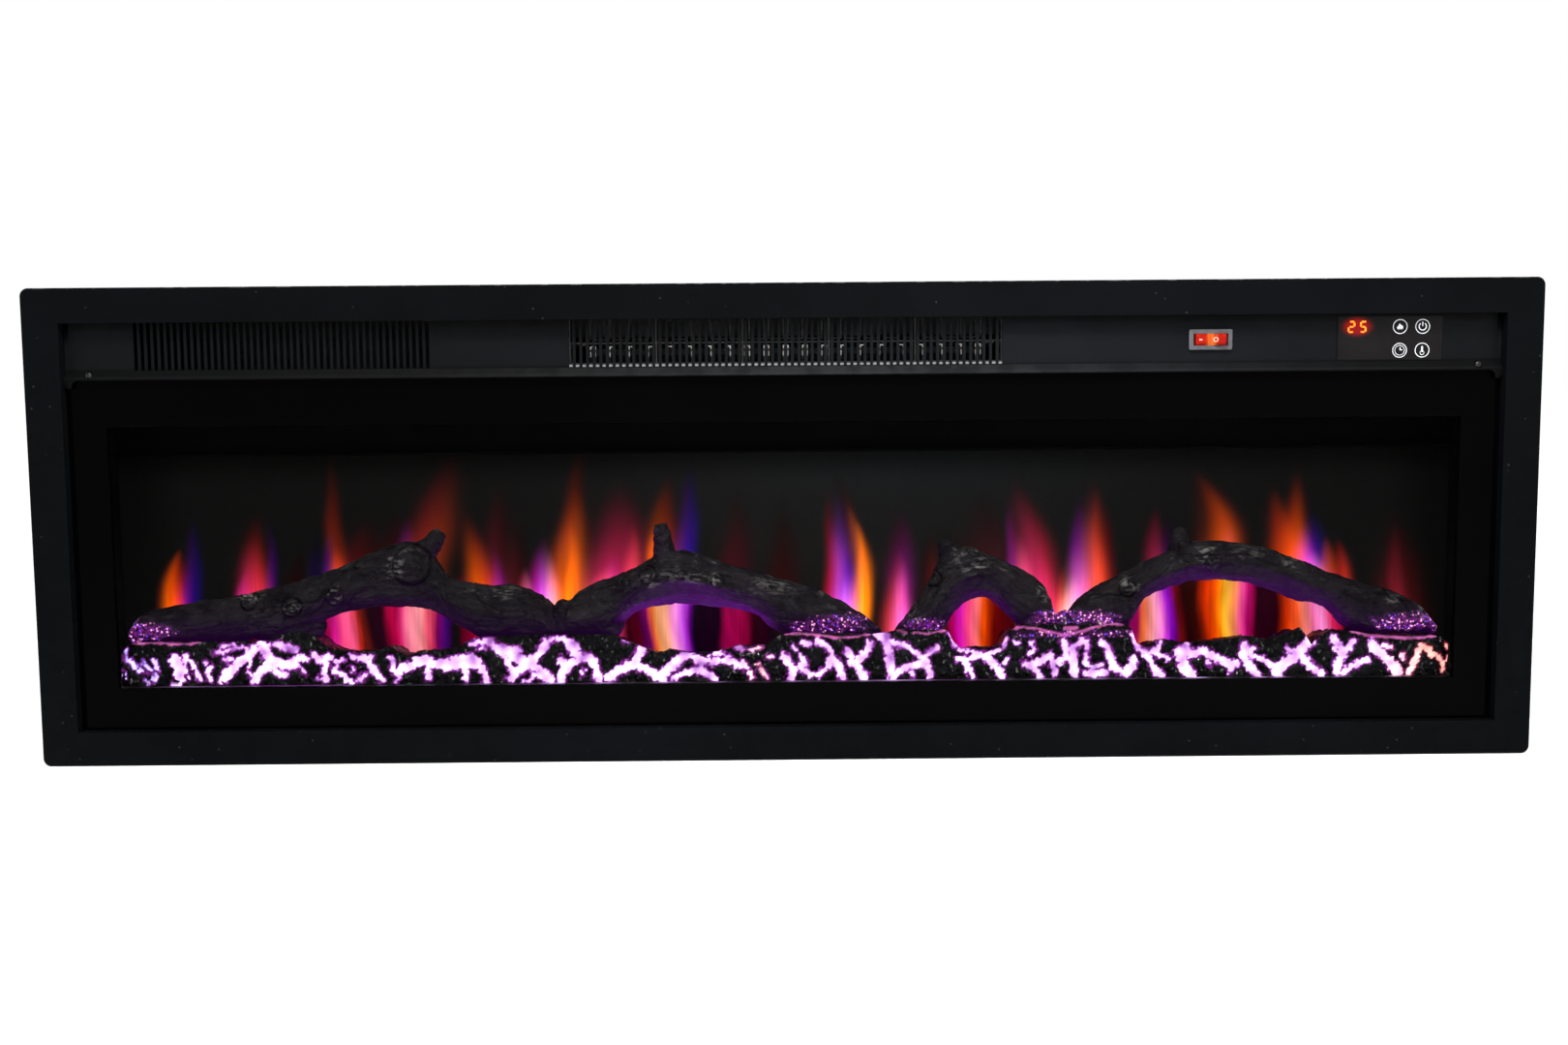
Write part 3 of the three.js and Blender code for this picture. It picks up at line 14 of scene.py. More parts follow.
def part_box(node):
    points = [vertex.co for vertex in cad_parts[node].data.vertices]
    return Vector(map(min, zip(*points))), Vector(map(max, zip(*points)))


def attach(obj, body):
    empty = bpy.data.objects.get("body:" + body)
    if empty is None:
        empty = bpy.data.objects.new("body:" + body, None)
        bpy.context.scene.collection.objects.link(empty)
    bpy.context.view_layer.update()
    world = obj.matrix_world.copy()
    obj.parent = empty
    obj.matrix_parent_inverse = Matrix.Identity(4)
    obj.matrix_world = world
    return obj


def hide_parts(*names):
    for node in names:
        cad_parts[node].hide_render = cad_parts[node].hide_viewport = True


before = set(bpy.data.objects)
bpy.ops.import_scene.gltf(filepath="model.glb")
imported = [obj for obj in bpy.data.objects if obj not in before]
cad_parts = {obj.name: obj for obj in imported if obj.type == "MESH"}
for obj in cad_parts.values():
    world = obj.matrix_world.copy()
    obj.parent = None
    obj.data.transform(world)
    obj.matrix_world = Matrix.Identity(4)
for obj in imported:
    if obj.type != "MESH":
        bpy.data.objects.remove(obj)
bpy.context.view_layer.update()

scene = bpy.context.scene
# One millimetre, in metres.
MM = 0.001


# ---------------------------------------------------------------- hand tools

def select_only(piece):
    """Makes one piece the selected and active one."""
    if bpy.context.object and bpy.context.object.mode != "OBJECT":
        bpy.ops.object.mode_set(mode="OBJECT")
    bpy.ops.object.select_all(action="DESELECT")
    piece.select_set(True)
    bpy.context.view_layer.objects.active = piece


def set_in_place(piece):
    """Puts the object at the origin and keeps its place in its mesh."""
    select_only(piece)
    bpy.ops.object.transform_apply(location=True, rotation=True, scale=True)
    return piece


def name_piece(piece, name):
    """Names a piece and its mesh."""
    piece.name = name
    piece.data.name = name
    return piece


def new_piece(name):
    """Names the primitive that was just added."""
    return name_piece(bpy.context.object, name)


def apply_modifier(piece, kind, **settings):
    """Adds one modifier to a piece and applies it."""
    select_only(piece)
    modifier = piece.modifiers.new(kind.lower(), kind)
    for key, value in settings.items():
        setattr(modifier, key, value)
    bpy.ops.object.modifier_apply(modifier=modifier.name)


def join_pieces(pieces, name):
    """Joins pieces that are one part of the object."""
    bpy.ops.object.select_all(action="DESELECT")
    for piece in pieces:
        piece.select_set(True)
    bpy.context.view_layer.objects.active = pieces[0]
    if len(pieces) > 1:
        bpy.ops.object.join()
    return name_piece(pieces[0], name)


def points_of(piece):
    """A mesh's points as an array."""
    points = np.zeros(len(piece.data.vertices) * 3, np.float32)
    piece.data.vertices.foreach_get("co", points)
    return points.reshape(-1, 3).astype(float)


def move_points(piece, points):
    """Writes an array back to a mesh's points."""
    piece.data.vertices.foreach_set("co", points.astype(np.float32).ravel())
    piece.data.update()


def normals_of(piece):
    """A mesh's point normals as an array."""
    normals = np.zeros(len(piece.data.vertices) * 3, np.float32)
    piece.data.vertices.foreach_get("normal", normals)
    return normals.reshape(-1, 3).astype(float)


def paint(piece, name, colours):
    """Stores a colour for each point of a mesh."""
    layer = piece.data.attributes.new(name, "FLOAT_COLOR", "POINT")
    filled = np.ones((len(colours), 4), np.float32)
    filled[:, :colours.shape[1]] = colours
    layer.data.foreach_set("color", filled.ravel())


def ramp(value, low, high):
    """0 below low, 1 above high and smooth between them."""
    share = np.clip((value - low) / (high - low), 0, 1)
    return share * share * (3 - 2 * share)


# ---------------------------------------------------------------- camera

def place_camera():
    """The camera stands 1.4 m in front of the glass, a little above its middle, looking slightly down."""
    lens = bpy.data.cameras.new("camera")
    lens.lens = 37.8
    lens.sensor_width = 36
    lens.clip_start = 0.01
    lens.clip_end = 50
    camera = bpy.data.objects.new("camera", lens)
    camera.location = (-0.0086, -1.5421, 0.1369)
    camera.rotation_euler = tuple(math.radians(turn) for turn in (84.459, 0.452, -0.327))
    scene.collection.objects.link(camera)
    scene.camera = camera


# ---------------------------------------------------------------- shader tools

def feed(tree, socket, value):
    """Links another node's output to a socket, or writes a plain value in it."""
    if isinstance(value, bpy.types.NodeSocket):
        tree.links.new(value, socket)
    else:
        socket.default_value = value


def put(tree, kind, inputs=None, **settings):
    """Adds a node, with its settings and what feeds its sockets."""
    made = tree.nodes.new(kind)
    for key, value in settings.items():
        setattr(made, key, value)
    for key, value in (inputs or {}).items():
        feed(tree, made.inputs[key], value)
    return made


def worked_out(tree, operation, *values):
    """The result of one sum on one or two values."""
    return put(tree, "ShaderNodeMath", dict(enumerate(values)), operation=operation).outputs[0]


def sum_of(tree, first, second):
    """The two values added."""
    return worked_out(tree, "ADD", first, second)


def less(tree, first, second):
    """The first value less the second."""
    return worked_out(tree, "SUBTRACT", first, second)


def product(tree, first, second):
    """The two values multiplied."""
    return worked_out(tree, "MULTIPLY", first, second)


def divided(tree, first, second):
    """The first value divided by the second."""
    return worked_out(tree, "DIVIDE", first, second)


def left_over(tree, value, pitch):
    """What is left of a value past whole pitches."""
    return worked_out(tree, "FLOORED_MODULO", value, pitch)


def larger(tree, first, second):
    """The larger of two values."""
    return worked_out(tree, "MAXIMUM", first, second)


def is_below(tree, value, limit):
    """1 where a value is below its limit, 0 elsewhere."""
    return worked_out(tree, "LESS_THAN", value, limit)


def size_of(tree, value):
    """A value without its sign."""
    return worked_out(tree, "ABSOLUTE", value)


def step_up(tree, value, low, high, bottom=0.0, top=1.0):
    """Carries a value smoothly from bottom at low to top at high."""
    inputs = {"Value": value, "From Min": low, "From Max": high, "To Min": bottom, "To Max": top}
    return put(tree, "ShaderNodeMapRange", inputs, interpolation_type="SMOOTHSTEP").outputs[0]


def blend_colour(tree, share, first, second):
    """Mixes two colours by a mask: 0 shows the first, 1 the second."""
    return put(tree, "ShaderNodeMix", {0: share, 6: first, 7: second}, data_type="RGBA").outputs[2]


def place_of(tree):
    """The point in the piece's own coordinates."""
    return put(tree, "ShaderNodeTexCoord").outputs["Object"]


def parts_of(tree, vector):
    """The x, y and z of a vector."""
    return put(tree, "ShaderNodeSeparateXYZ", {0: vector}).outputs


def new_effect(name, inputs, outputs):
    """A shader node group with named inputs and outputs."""
    group = bpy.data.node_groups.new(name, "ShaderNodeTree")
    for label, kind, value in inputs:
        socket = group.interface.new_socket(label, in_out="INPUT", socket_type="NodeSocket" + kind)
        if value is not None:
            socket.default_value = value
    for label, kind in outputs:
        group.interface.new_socket(label, in_out="OUTPUT", socket_type="NodeSocket" + kind)
    start = group.nodes.new("NodeGroupInput").outputs
    end = group.nodes.new("NodeGroupOutput").inputs
    return group, start, end


def effect(tree, group, **values):
    """Places a shared effect in a material with the material's own values."""
    placed = tree.nodes.new("ShaderNodeGroup")
    placed.node_tree = group
    for label, value in values.items():
        feed(tree, placed.inputs[label.replace("_", " ")], value)
    return placed.outputs


def rgb(red, green, blue):
    """A colour as a socket holds it."""
    return (red, green, blue, 1.0)


def shades_of(tree, colour):
    """The red, green and blue of a colour."""
    return put(tree, "ShaderNodeSeparateColor", {0: colour}).outputs


def painted(tree, name):
    """What was stored under a name at each point of the mesh."""
    return put(tree, "ShaderNodeAttribute", attribute_name=name).outputs


def add_light(tree, first, second):
    """Two lights added."""
    mixed = put(tree, "ShaderNodeMix", {0: 1.0, 6: first, 7: second}, data_type="RGBA", blend_type="ADD")
    return mixed.outputs[2]


def roughen(tree, shader, mask, smooth, rough):
    """Lets the roughness run from smooth to rough as a mask runs from 0 to 1."""
    tree.links.new(step_up(tree, mask, 0.0, 1.0, smooth, rough), shader["Roughness"])


def raise_surface(tree, shader, height, distance):
    """Lets a height of 1 stand a distance out of the surface."""
    bump = put(tree, "ShaderNodeBump", {"Height": height, "Distance": distance})
    tree.links.new(bump.outputs[0], shader["Normal"])


def lay_over(tree, shader, mask, colour):
    """Lays a colour over the finish by a mask."""
    under = shader["Base Color"].links[0].from_socket
    tree.links.new(blend_colour(tree, mask, under, colour), shader["Base Color"])


# ---------------------------------------------------------------- shared effects

def make_grain():
    """Fine grain: a height for bump and a slow shade, stretched along any axis."""
    group, start, end = new_effect(
        "surface grain",
        [("Place", "Vector", None), ("Stretch", "Vector", (1, 1, 1)), ("Size", "Float", 0.001)],
        [("Height", "Float"), ("Shade", "Float")])
    drawn = put(group, "ShaderNodeVectorMath", {0: start["Place"], 1: start["Stretch"]},
                operation="MULTIPLY")
    stretched = drawn.outputs[0]
    scale = divided(group, 1.0, start["Size"])
    fine = put(group, "ShaderNodeTexNoise", {"Vector": stretched, "Scale": scale, "Detail": 3.0})
    slow_scale = product(group, scale, 0.09)
    slow = put(group, "ShaderNodeTexNoise", {"Vector": stretched, "Scale": slow_scale, "Detail": 4.0})
    group.links.new(fine.outputs[0], end["Height"])
    group.links.new(step_up(group, slow.outputs[0], 0.35, 0.65), end["Shade"])
    return group


def make_patches():
    """Two colours in soft patches."""
    group, start, end = new_effect(
        "colour patches",
        [("Place", "Vector", None), ("Size", "Float", 0.05), ("Dark", "Color", rgb(0, 0, 0)),
         ("Light", "Color", rgb(1, 1, 1))],
        [("Colour", "Color"), ("Mask", "Float")])
    scale = divided(group, 1.0, start["Size"])
    cloud = put(group, "ShaderNodeTexNoise",
                {"Vector": start["Place"], "Scale": scale, "Detail": 6.0, "Roughness": 0.62})
    mask = step_up(group, cloud.outputs[0], 0.32, 0.68)
    group.links.new(mask, end["Mask"])
    group.links.new(blend_colour(group, mask, start["Dark"], start["Light"]), end["Colour"])
    return group


def make_worn_rim():
    """Wear along the border of a rectangle that faces the front, given as half sizes."""
    group, start, end = new_effect(
        "worn rim",
        [("Place", "Vector", None), ("Half Width", "Float", 0.6), ("Half Height", "Float", 0.2),
         ("Band", "Float", 0.0008), ("Share", "Float", 0.5)],
        [("Mask", "Float")])
    across = parts_of(group, start["Place"])
    reach = []
    for axis, half in (("X", "Half Width"), ("Z", "Half Height")):
        reach.append(less(group, size_of(group, across[axis]), start[half]))
    off = size_of(group, larger(group, reach[0], reach[1]))
    near = step_up(group, divided(group, off, start["Band"]), 1.0, 0.2)
    chips = put(group, "ShaderNodeTexNoise", {"Vector": start["Place"], "Scale": 95.0, "Detail": 5.0})
    worn = less(group, chips.outputs[0], less(group, 1.0, start["Share"]))
    group.links.new(product(group, near, step_up(group, worn, 0.0, 0.06)), end["Mask"])
    return group


def make_dust():
    """Dust on the faces that look up."""
    group, start, end = new_effect(
        "settled dust", [("Place", "Vector", None), ("Amount", "Float", 0.3)], [("Mask", "Float")])
    normal = put(group, "ShaderNodeNewGeometry").outputs["Normal"]
    flat = step_up(group, parts_of(group, normal)["Z"], 0.35, 0.95)
    cloud = put(group, "ShaderNodeTexNoise", {"Vector": start["Place"], "Scale": 45.0, "Detail": 8.0})
    lying = product(group, flat, step_up(group, cloud.outputs[0], 0.3, 0.75))
    group.links.new(product(group, lying, start["Amount"]), end["Mask"])
    return group


def make_flecks():
    """Scattered small flecks."""
    group, start, end = new_effect(
        "flecks",
        [("Place", "Vector", None), ("Size", "Float", 0.001), ("Share", "Float", 0.2)],
        [("Mask", "Float"), ("Shade", "Float")])
    scale = divided(group, 1.0, start["Size"])
    cells = put(group, "ShaderNodeTexVoronoi", {"Vector": start["Place"], "Scale": scale})
    chance = shades_of(group, cells.outputs["Color"])
    shown = is_below(group, chance[0], start["Share"])
    small = step_up(group, cells.outputs["Distance"], 0.5, 0.25)
    group.links.new(product(group, shown, small), end["Mask"])
    group.links.new(chance[1], end["Shade"])
    return group


def make_rows():
    """Repeated marks along x: a mask of blocks at one pitch, within a band of z or y."""
    group, start, end = new_effect(
        "blocks in a row",
        [("Along", "Float", 0.0), ("Across", "Float", 0.0), ("Pitch", "Float", 0.01),
         ("Length", "Float", 0.5), ("Half Width", "Float", 0.002)],
        [("Mask", "Float")])
    share = left_over(group, divided(group, start["Along"], start["Pitch"]), 1.0)
    on = is_below(group, share, start["Length"])
    inside = is_below(group, size_of(group, start["Across"]), start["Half Width"])
    group.links.new(product(group, on, inside), end["Mask"])
    return group


grain = make_grain()
patches = make_patches()
worn_rim = make_worn_rim()
settled_dust = make_dust()
flecks = make_flecks()
block_row = make_rows()


# ---------------------------------------------------------------- finishes

def new_finish(name, **sockets):
    """A material whose constant values sit on the shader's own sockets."""
    material = bpy.data.materials.new(name)
    material.use_nodes = True
    tree = material.node_tree
    shader = tree.nodes["Principled BSDF"]
    for label, value in sockets.items():
        shader.inputs[label.replace("_", " ")].default_value = value
    return material, tree, shader.inputs


def cloud_of(tree, place, size, dark, light):
    """Soft patches of a dark and a light colour."""
    return effect(tree, patches, Place=place, Size=size, Dark=rgb(*dark), Light=rgb(*light))


def coated(name, dark, light, patch, rough, size, depth, stretch=(1, 1, 1), dust=0.0, **sockets):
    """A plain finish: patchy colour, uneven roughness and a fine grain in the surface.

    The patches and the grain have sizes in metres, and the grain stands out by its depth.
    """
    material, tree, shader = new_finish(name, **sockets)
    place = place_of(tree)
    cloud = cloud_of(tree, place, patch, dark, light)
    fine = effect(tree, grain, Place=place, Stretch=stretch, Size=size)
    colour = cloud["Colour"]
    if dust:
        lying = effect(tree, settled_dust, Place=place, Amount=dust)["Mask"]
        colour = blend_colour(tree, lying, colour, rgb(0.16, 0.15, 0.14))
    tree.links.new(colour, shader["Base Color"])
    roughen(tree, shader, fine["Shade"], rough[0], rough[1])
    raise_surface(tree, shader, fine["Height"], depth)
    return material, tree, shader


def make_powder_coat():
    """Black powder coat of the frame, with rubbed corners and a few pale scuffs."""
    material, tree, shader = coated(
        "frame_powder_coat", dark=(0.0009, 0.0011, 0.0015), light=(0.0026, 0.0032, 0.0041), patch=0.34,
        rough=(0.52, 0.66), size=0.0011, depth=0.00006, Specular_IOR_Level=0.04)
    place = place_of(tree)
    # the rims of the frame's outer edge and of its opening, by their half sizes
    outer = effect(tree, worn_rim, Place=place, Half_Width=0.6400, Half_Height=0.2040,
                   Band=0.0011, Share=0.47)
    inner = effect(tree, worn_rim, Place=place, Half_Width=0.6090, Half_Height=0.1745,
                   Band=0.0008, Share=0.26)
    at_front = step_up(tree, parts_of(tree, place)["Y"], -0.1484, -0.1494)
    rubbed = product(tree, larger(tree, outer["Mask"], inner["Mask"]), at_front)
    scuffs = effect(tree, flecks, Place=place, Size=0.0026, Share=0.006)["Mask"]
    worn = larger(tree, rubbed, product(tree, scuffs, 0.30))
    lay_over(tree, shader, worn, rgb(0.07, 0.07, 0.07))
    return material


def make_fascia_coat():
    """The fascia's coat: a shade lighter than the frame, with painted shade under the frame's lip, round
    its lower lip and towards its ends.
    """
    material, tree, shader = coated(
        "fascia_powder_coat", dark=(0.0030, 0.0038, 0.0048), light=(0.0066, 0.0080, 0.0098), patch=0.26,
        rough=(0.50, 0.64), size=0.0012, depth=0.00006, dust=0.03, Specular_IOR_Level=0.07)
    along = parts_of(tree, place_of(tree))
    height = along["Z"]
    # painted shade: darker under the frame's lip, under the lower lip, on the upper part of the lip's slope
    # and towards both ends
    under_frame = step_up(tree, height, 0.1665, 0.1725, 0.0, 0.85)
    under_lip = step_up(tree, height, 0.1283, 0.1273, 0.0, 0.95)
    past_lip = step_up(tree, height, 0.1286, 0.1296)
    on_slope = product(tree, past_lip, step_up(tree, height, 0.1372, 0.1346, 0.0, 0.6))
    from_middle = size_of(tree, less(tree, along["X"], 0.15))
    at_ends = step_up(tree, from_middle, 0.12, 0.46, 0.0, 0.5)
    painted_shade = sum_of(tree, sum_of(tree, under_frame, under_lip), on_slope)
    painted_shade = sum_of(tree, painted_shade, at_ends)
    lay_over(tree, shader, painted_shade, rgb(0.0006, 0.0007, 0.0009))
    return material


def make_casing_coat():
    """The casing's coat: black sheet steel with dust on its flat top."""
    return coated(
        "casing_powder_coat", dark=(0.010, 0.0108, 0.012), light=(0.017, 0.018, 0.020), patch=0.16,
        rough=(0.48, 0.66), size=0.0013, depth=0.00007, dust=0.10, Specular_IOR_Level=0.2)[0]


def make_galvanised():
    """Zinc-coated sheet with its crystal pattern."""
    material, tree, shader = coated(
        "galvanised_sheet", dark=(0.30, 0.31, 0.33), light=(0.50, 0.51, 0.53), patch=0.03,
        rough=(0.30, 0.50), size=0.0020, depth=0.00002, dust=0.3, Metallic=0.9)
    crystals = put(tree, "ShaderNodeTexVoronoi", {"Vector": place_of(tree), "Scale": 130.0})
    tone = shades_of(tree, crystals.outputs["Color"])[0]
    flake = step_up(tree, tone, 0.0, 1.0, 0.0, 0.45)
    lay_over(tree, shader, flake, rgb(0.60, 0.62, 0.66))
    return material


def make_duct_sheet(node):
    """The blower's duct: near black inside as painted shade, with painted highlights of bare zinc on the
    strip just behind the slots.
    """
    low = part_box(node)[0]
    # painted shade: the whole duct is coloured near black
    material, tree, shader = coated(
        "duct_sheet", dark=(0.008, 0.008, 0.009), light=(0.020, 0.020, 0.021), patch=0.03,
        rough=(0.35, 0.55), size=0.0016, depth=0.00003, dust=0.15, Specular_IOR_Level=0.3)
    across = parts_of(tree, place_of(tree))
    # painted highlights on the folds of the duct's mouth, measured from its front lower edge
    nearby = step_up(tree, across["Y"], low.y + 0.0022, low.y + 0.0014)
    upper = product(tree, step_up(tree, across["Z"], low.z + 0.0058, low.z + 0.0063),
                    step_up(tree, across["Z"], low.z + 0.0086, low.z + 0.0081))
    lower = step_up(tree, across["Z"], low.z + 0.0044, low.z + 0.0040)
    painted_highlights = larger(tree, upper, product(tree, lower, 0.75))
    lay_over(tree, shader, product(tree, nearby, painted_highlights), rgb(0.42, 0.42, 0.43))
    return material


def make_laminated_iron():
    """Stacked motor laminations: thin edges across x, with a varnish tint."""
    material, tree, shader = coated(
        "laminated_iron", dark=(0.09, 0.085, 0.08), light=(0.19, 0.18, 0.17), patch=0.012,
        rough=(0.35, 0.55), size=0.0006, depth=0.00002, dust=0.2, Metallic=0.8)
    sheets = put(tree, "ShaderNodeTexWave", {"Vector": place_of(tree), "Scale": 320.0, "Distortion": 0.3},
                 wave_type="BANDS", bands_direction="X")
    raise_surface(tree, shader, sheets.outputs["Fac"], 0.0001)
    return material


def make_copper_winding():
    """Enamelled copper wire laid turn beside turn."""
    material, tree, shader = new_finish(
        "copper_winding", Metallic=0.9, Coat_Roughness=0.15, Coat_Weight=0.5)
    place = place_of(tree)
    waves = put(tree, "ShaderNodeTexWave",
                {"Vector": place, "Scale": 420.0, "Distortion": 0.8, "Detail": 1.0},
                wave_type="BANDS", bands_direction="X")
    turns = waves.outputs["Fac"]
    cloud = cloud_of(tree, place, 0.008, (0.30, 0.10, 0.04), (0.62, 0.25, 0.10))
    crest = step_up(tree, turns, 0.0, 0.5)
    colour = blend_colour(tree, crest, rgb(0.08, 0.025, 0.012), cloud["Colour"])
    tree.links.new(colour, shader["Base Color"])
    roughen(tree, shader, cloud["Mask"], 0.25, 0.42)
    raise_surface(tree, shader, turns, 0.00025)
    return material


def make_mica():
    """Pressed mica board: grey-beige with shining flakes."""
    material, tree, shader = coated(
        "mica_board", dark=(0.022, 0.019, 0.016), light=(0.055, 0.050, 0.042), patch=0.012,
        rough=(0.35, 0.6), size=0.0009, depth=0.00004, Specular_IOR_Level=0.5)
    flakes = effect(tree, flecks, Place=place_of(tree), Size=0.0016, Share=0.35)["Mask"]
    lay_over(tree, shader, flakes, rgb(0.12, 0.11, 0.10))
    return material


def make_heating_wire():
    """Nickel-chrome wire, browned by heat, with painted highlights in two rows."""
    material, tree, shader = coated(
        "heating_wire", dark=(0.020, 0.019, 0.018), light=(0.050, 0.047, 0.044), patch=0.006,
        rough=(0.22, 0.40), size=0.0005, depth=0.00001, Metallic=0.85)
    height = parts_of(tree, place_of(tree))["Z"]
    rows = []
    # the painted highlights: the height of each row's middle and half the height of its bright band
    for middle, reach in ((0.1523, 0.0036), (0.1452, 0.0028)):
        away = size_of(tree, less(tree, height, middle))
        rows.append(step_up(tree, away, reach, reach - 0.0015))
    bright = larger(tree, rows[0], product(tree, rows[1], 0.6))
    lay_over(tree, shader, bright, rgb(0.80, 0.77, 0.72))
    return material


def make_circuit_board(name, dark, light):
    """A printed board: coated tracks, with small solder points in rows."""
    material, tree, shader = new_finish(name, Specular_IOR_Level=0.5)
    place = place_of(tree)
    base = cloud_of(tree, place, 0.02, dark, light)
    tracks = put(tree, "ShaderNodeTexVoronoi", {"Vector": place, "Scale": 190.0},
                 distance="MANHATTAN", feature="F1")
    line = product(tree, tracks.outputs["Distance"], 4.0)
    laid = step_up(tree, left_over(tree, line, 1.0), 0.62, 0.7)
    coating = rgb(*[4 * part for part in light])
    colour = blend_colour(tree, product(tree, laid, 0.5), base["Colour"], coating)
    points = effect(tree, flecks, Place=place, Size=0.0042, Share=0.30)
    solder = step_up(tree, points["Mask"], 0.75, 0.95)
    tree.links.new(blend_colour(tree, solder, colour, rgb(0.62, 0.62, 0.60)), shader["Base Color"])
    roughen(tree, shader, base["Mask"], 0.28, 0.42)
    raise_surface(tree, shader, laid, 0.00005)
    return material


def make_led_board(name, node, turned):
    """A white strip board with lamps at one pitch and printed tracks between them."""
    low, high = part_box(node)
    middle = (low + high) / 2
    material, tree, shader = new_finish(name, Specular_IOR_Level=0.4, Emission_Strength=1.0)
    across = parts_of(tree, place_of(tree))
    depth = less(tree, across["Y"], middle.y)
    pitch = 1 / 60
    lamps = effect(tree, block_row, Along=across["X"], Across=depth, Pitch=pitch,
                   Length=0.30, Half_Width=0.0026)
    tracks = effect(tree, block_row, Along=across["X"], Across=depth, Pitch=pitch,
                    Length=0.92, Half_Width=0.0045)
    cloud = cloud_of(tree, place_of(tree), 0.03, (0.50, 0.50, 0.47), (0.66, 0.66, 0.62))
    colour = blend_colour(tree, product(tree, tracks["Mask"], 0.35), cloud["Colour"], rgb(0.45, 0.32, 0.14))
    tree.links.new(blend_colour(tree, lamps["Mask"], colour, rgb(0.80, 0.78, 0.60)), shader["Base Color"])
    tree.links.new(blend_colour(tree, lamps["Mask"], rgb(0, 0, 0), rgb(*turned)), shader["Emission Color"])
    roughen(tree, shader, cloud["Mask"], 0.35, 0.5)
    return material


def make_mirror_foil():
    """Crinkled mirror film wrapped round the flicker rotor."""
    return coated(
        "mirror_foil", dark=(0.62, 0.62, 0.64), light=(0.82, 0.82, 0.84), patch=0.02,
        rough=(0.08, 0.20), size=0.006, depth=0.0008, Metallic=1.0)[0]


def make_glass():
    """Toughened front glass: a clear window with a black printed border on its back."""
    material, tree, shader = new_finish("front_glass", Specular_IOR_Level=0.015)
    place = place_of(tree)
    across = parts_of(tree, place)
    # the border begins at the window's half width, its top and its bottom
    beside = step_up(tree, size_of(tree, across["X"]), 0.5748, 0.5766)
    above = step_up(tree, across["Z"], 0.0860, 0.0878)
    below = step_up(tree, across["Z"], -0.1372, -0.1390)
    border = larger(tree, beside, larger(tree, above, below))
    cloud = cloud_of(tree, place, 0.35, (0.0006, 0.0005, 0.0006), (0.0011, 0.0010, 0.0011))
    smears = effect(tree, grain, Place=place, Stretch=(0.5, 1, 1.4), Size=0.012)
    tree.links.new(cloud["Colour"], shader["Base Color"])
    roughen(tree, shader, smears["Shade"], 0.03, 0.10)
    tint = step_up(tree, smears["Shade"], 0.0, 1.0, 0.07, 0.10)
    tree.links.new(larger(tree, border, tint), shader["Alpha"])
    return material


def make_screen_acrylic():
    """The smoked acrylic screen behind the logs."""
    return coated(
        "screen_acrylic", dark=(0.0030, 0.0031, 0.0028), light=(0.0050, 0.0050, 0.0046), patch=0.3,
        rough=(0.20, 0.32), size=0.01, depth=0.00003, Specular_IOR_Level=0.05)[0]


def make_flame_picture_finish():
    """Light thrown on the screen: the flame colours, broken into fine upright streaks near their feet."""
    material, tree, shader = new_finish("flame_light", Specular_IOR_Level=0.01, Emission_Strength=1.0)
    place = place_of(tree)
    flame = painted(tree, "flame_colour")["Color"]
    fine = effect(tree, grain, Place=place, Stretch=(1.0, 1.0, 0.03), Size=0.0026)
    low_down = step_up(tree, parts_of(tree, place)["Z"], -0.050, -0.070, 0.08, 0.26)
    swing = product(tree, sum_of(tree, fine["Height"], -0.5), low_down)
    streak = sum_of(tree, product(tree, swing, 3.0), 1.0)
    lit = put(tree, "ShaderNodeMix", {0: 1.0, 6: flame, 7: streak}, data_type="RGBA", blend_type="MULTIPLY")
    tree.links.new(lit.outputs[2], shader["Emission Color"])
    cloud = cloud_of(tree, place, 0.3, (0.0008, 0.0008, 0.0007), (0.0014, 0.0014, 0.0012))
    tree.links.new(cloud["Colour"], shader["Base Color"])
    roughen(tree, shader, fine["Shade"], 0.22, 0.34)
    material.cycles.emission_sampling = "NONE"
    return material


def lamp_glitter(tree, place, mask, size):
    """Specks of lamp light shining through thin resin: blue, violet and pink."""
    spots = effect(tree, flecks, Place=place, Size=size, Share=0.62)
    drift = effect(tree, grain, Place=place, Size=0.0030)
    strong = step_up(tree, drift["Height"], 0.36, 0.58, 0.25, 1.2)
    speck = product(tree, product(tree, spots["Mask"], step_up(tree, mask, 0.0, 0.6)), strong)
    hue = step_up(tree, spots["Shade"], 0.15, 0.75)
    bright = blend_colour(tree, hue, rgb(0.26, 0.06, 1.50), rgb(2.40, 0.85, 1.60))
    thick = product(tree, mask, step_up(tree, drift["Height"], 0.42, 0.60))
    haze = blend_colour(tree, thick, rgb(0.012, 0.001, 0.020), rgb(0.20, 0.016, 0.22))
    lit = blend_colour(tree, speck, haze, bright)
    return blend_colour(tree, step_up(tree, mask, 0.0, 0.12), rgb(0, 0, 0), lit)


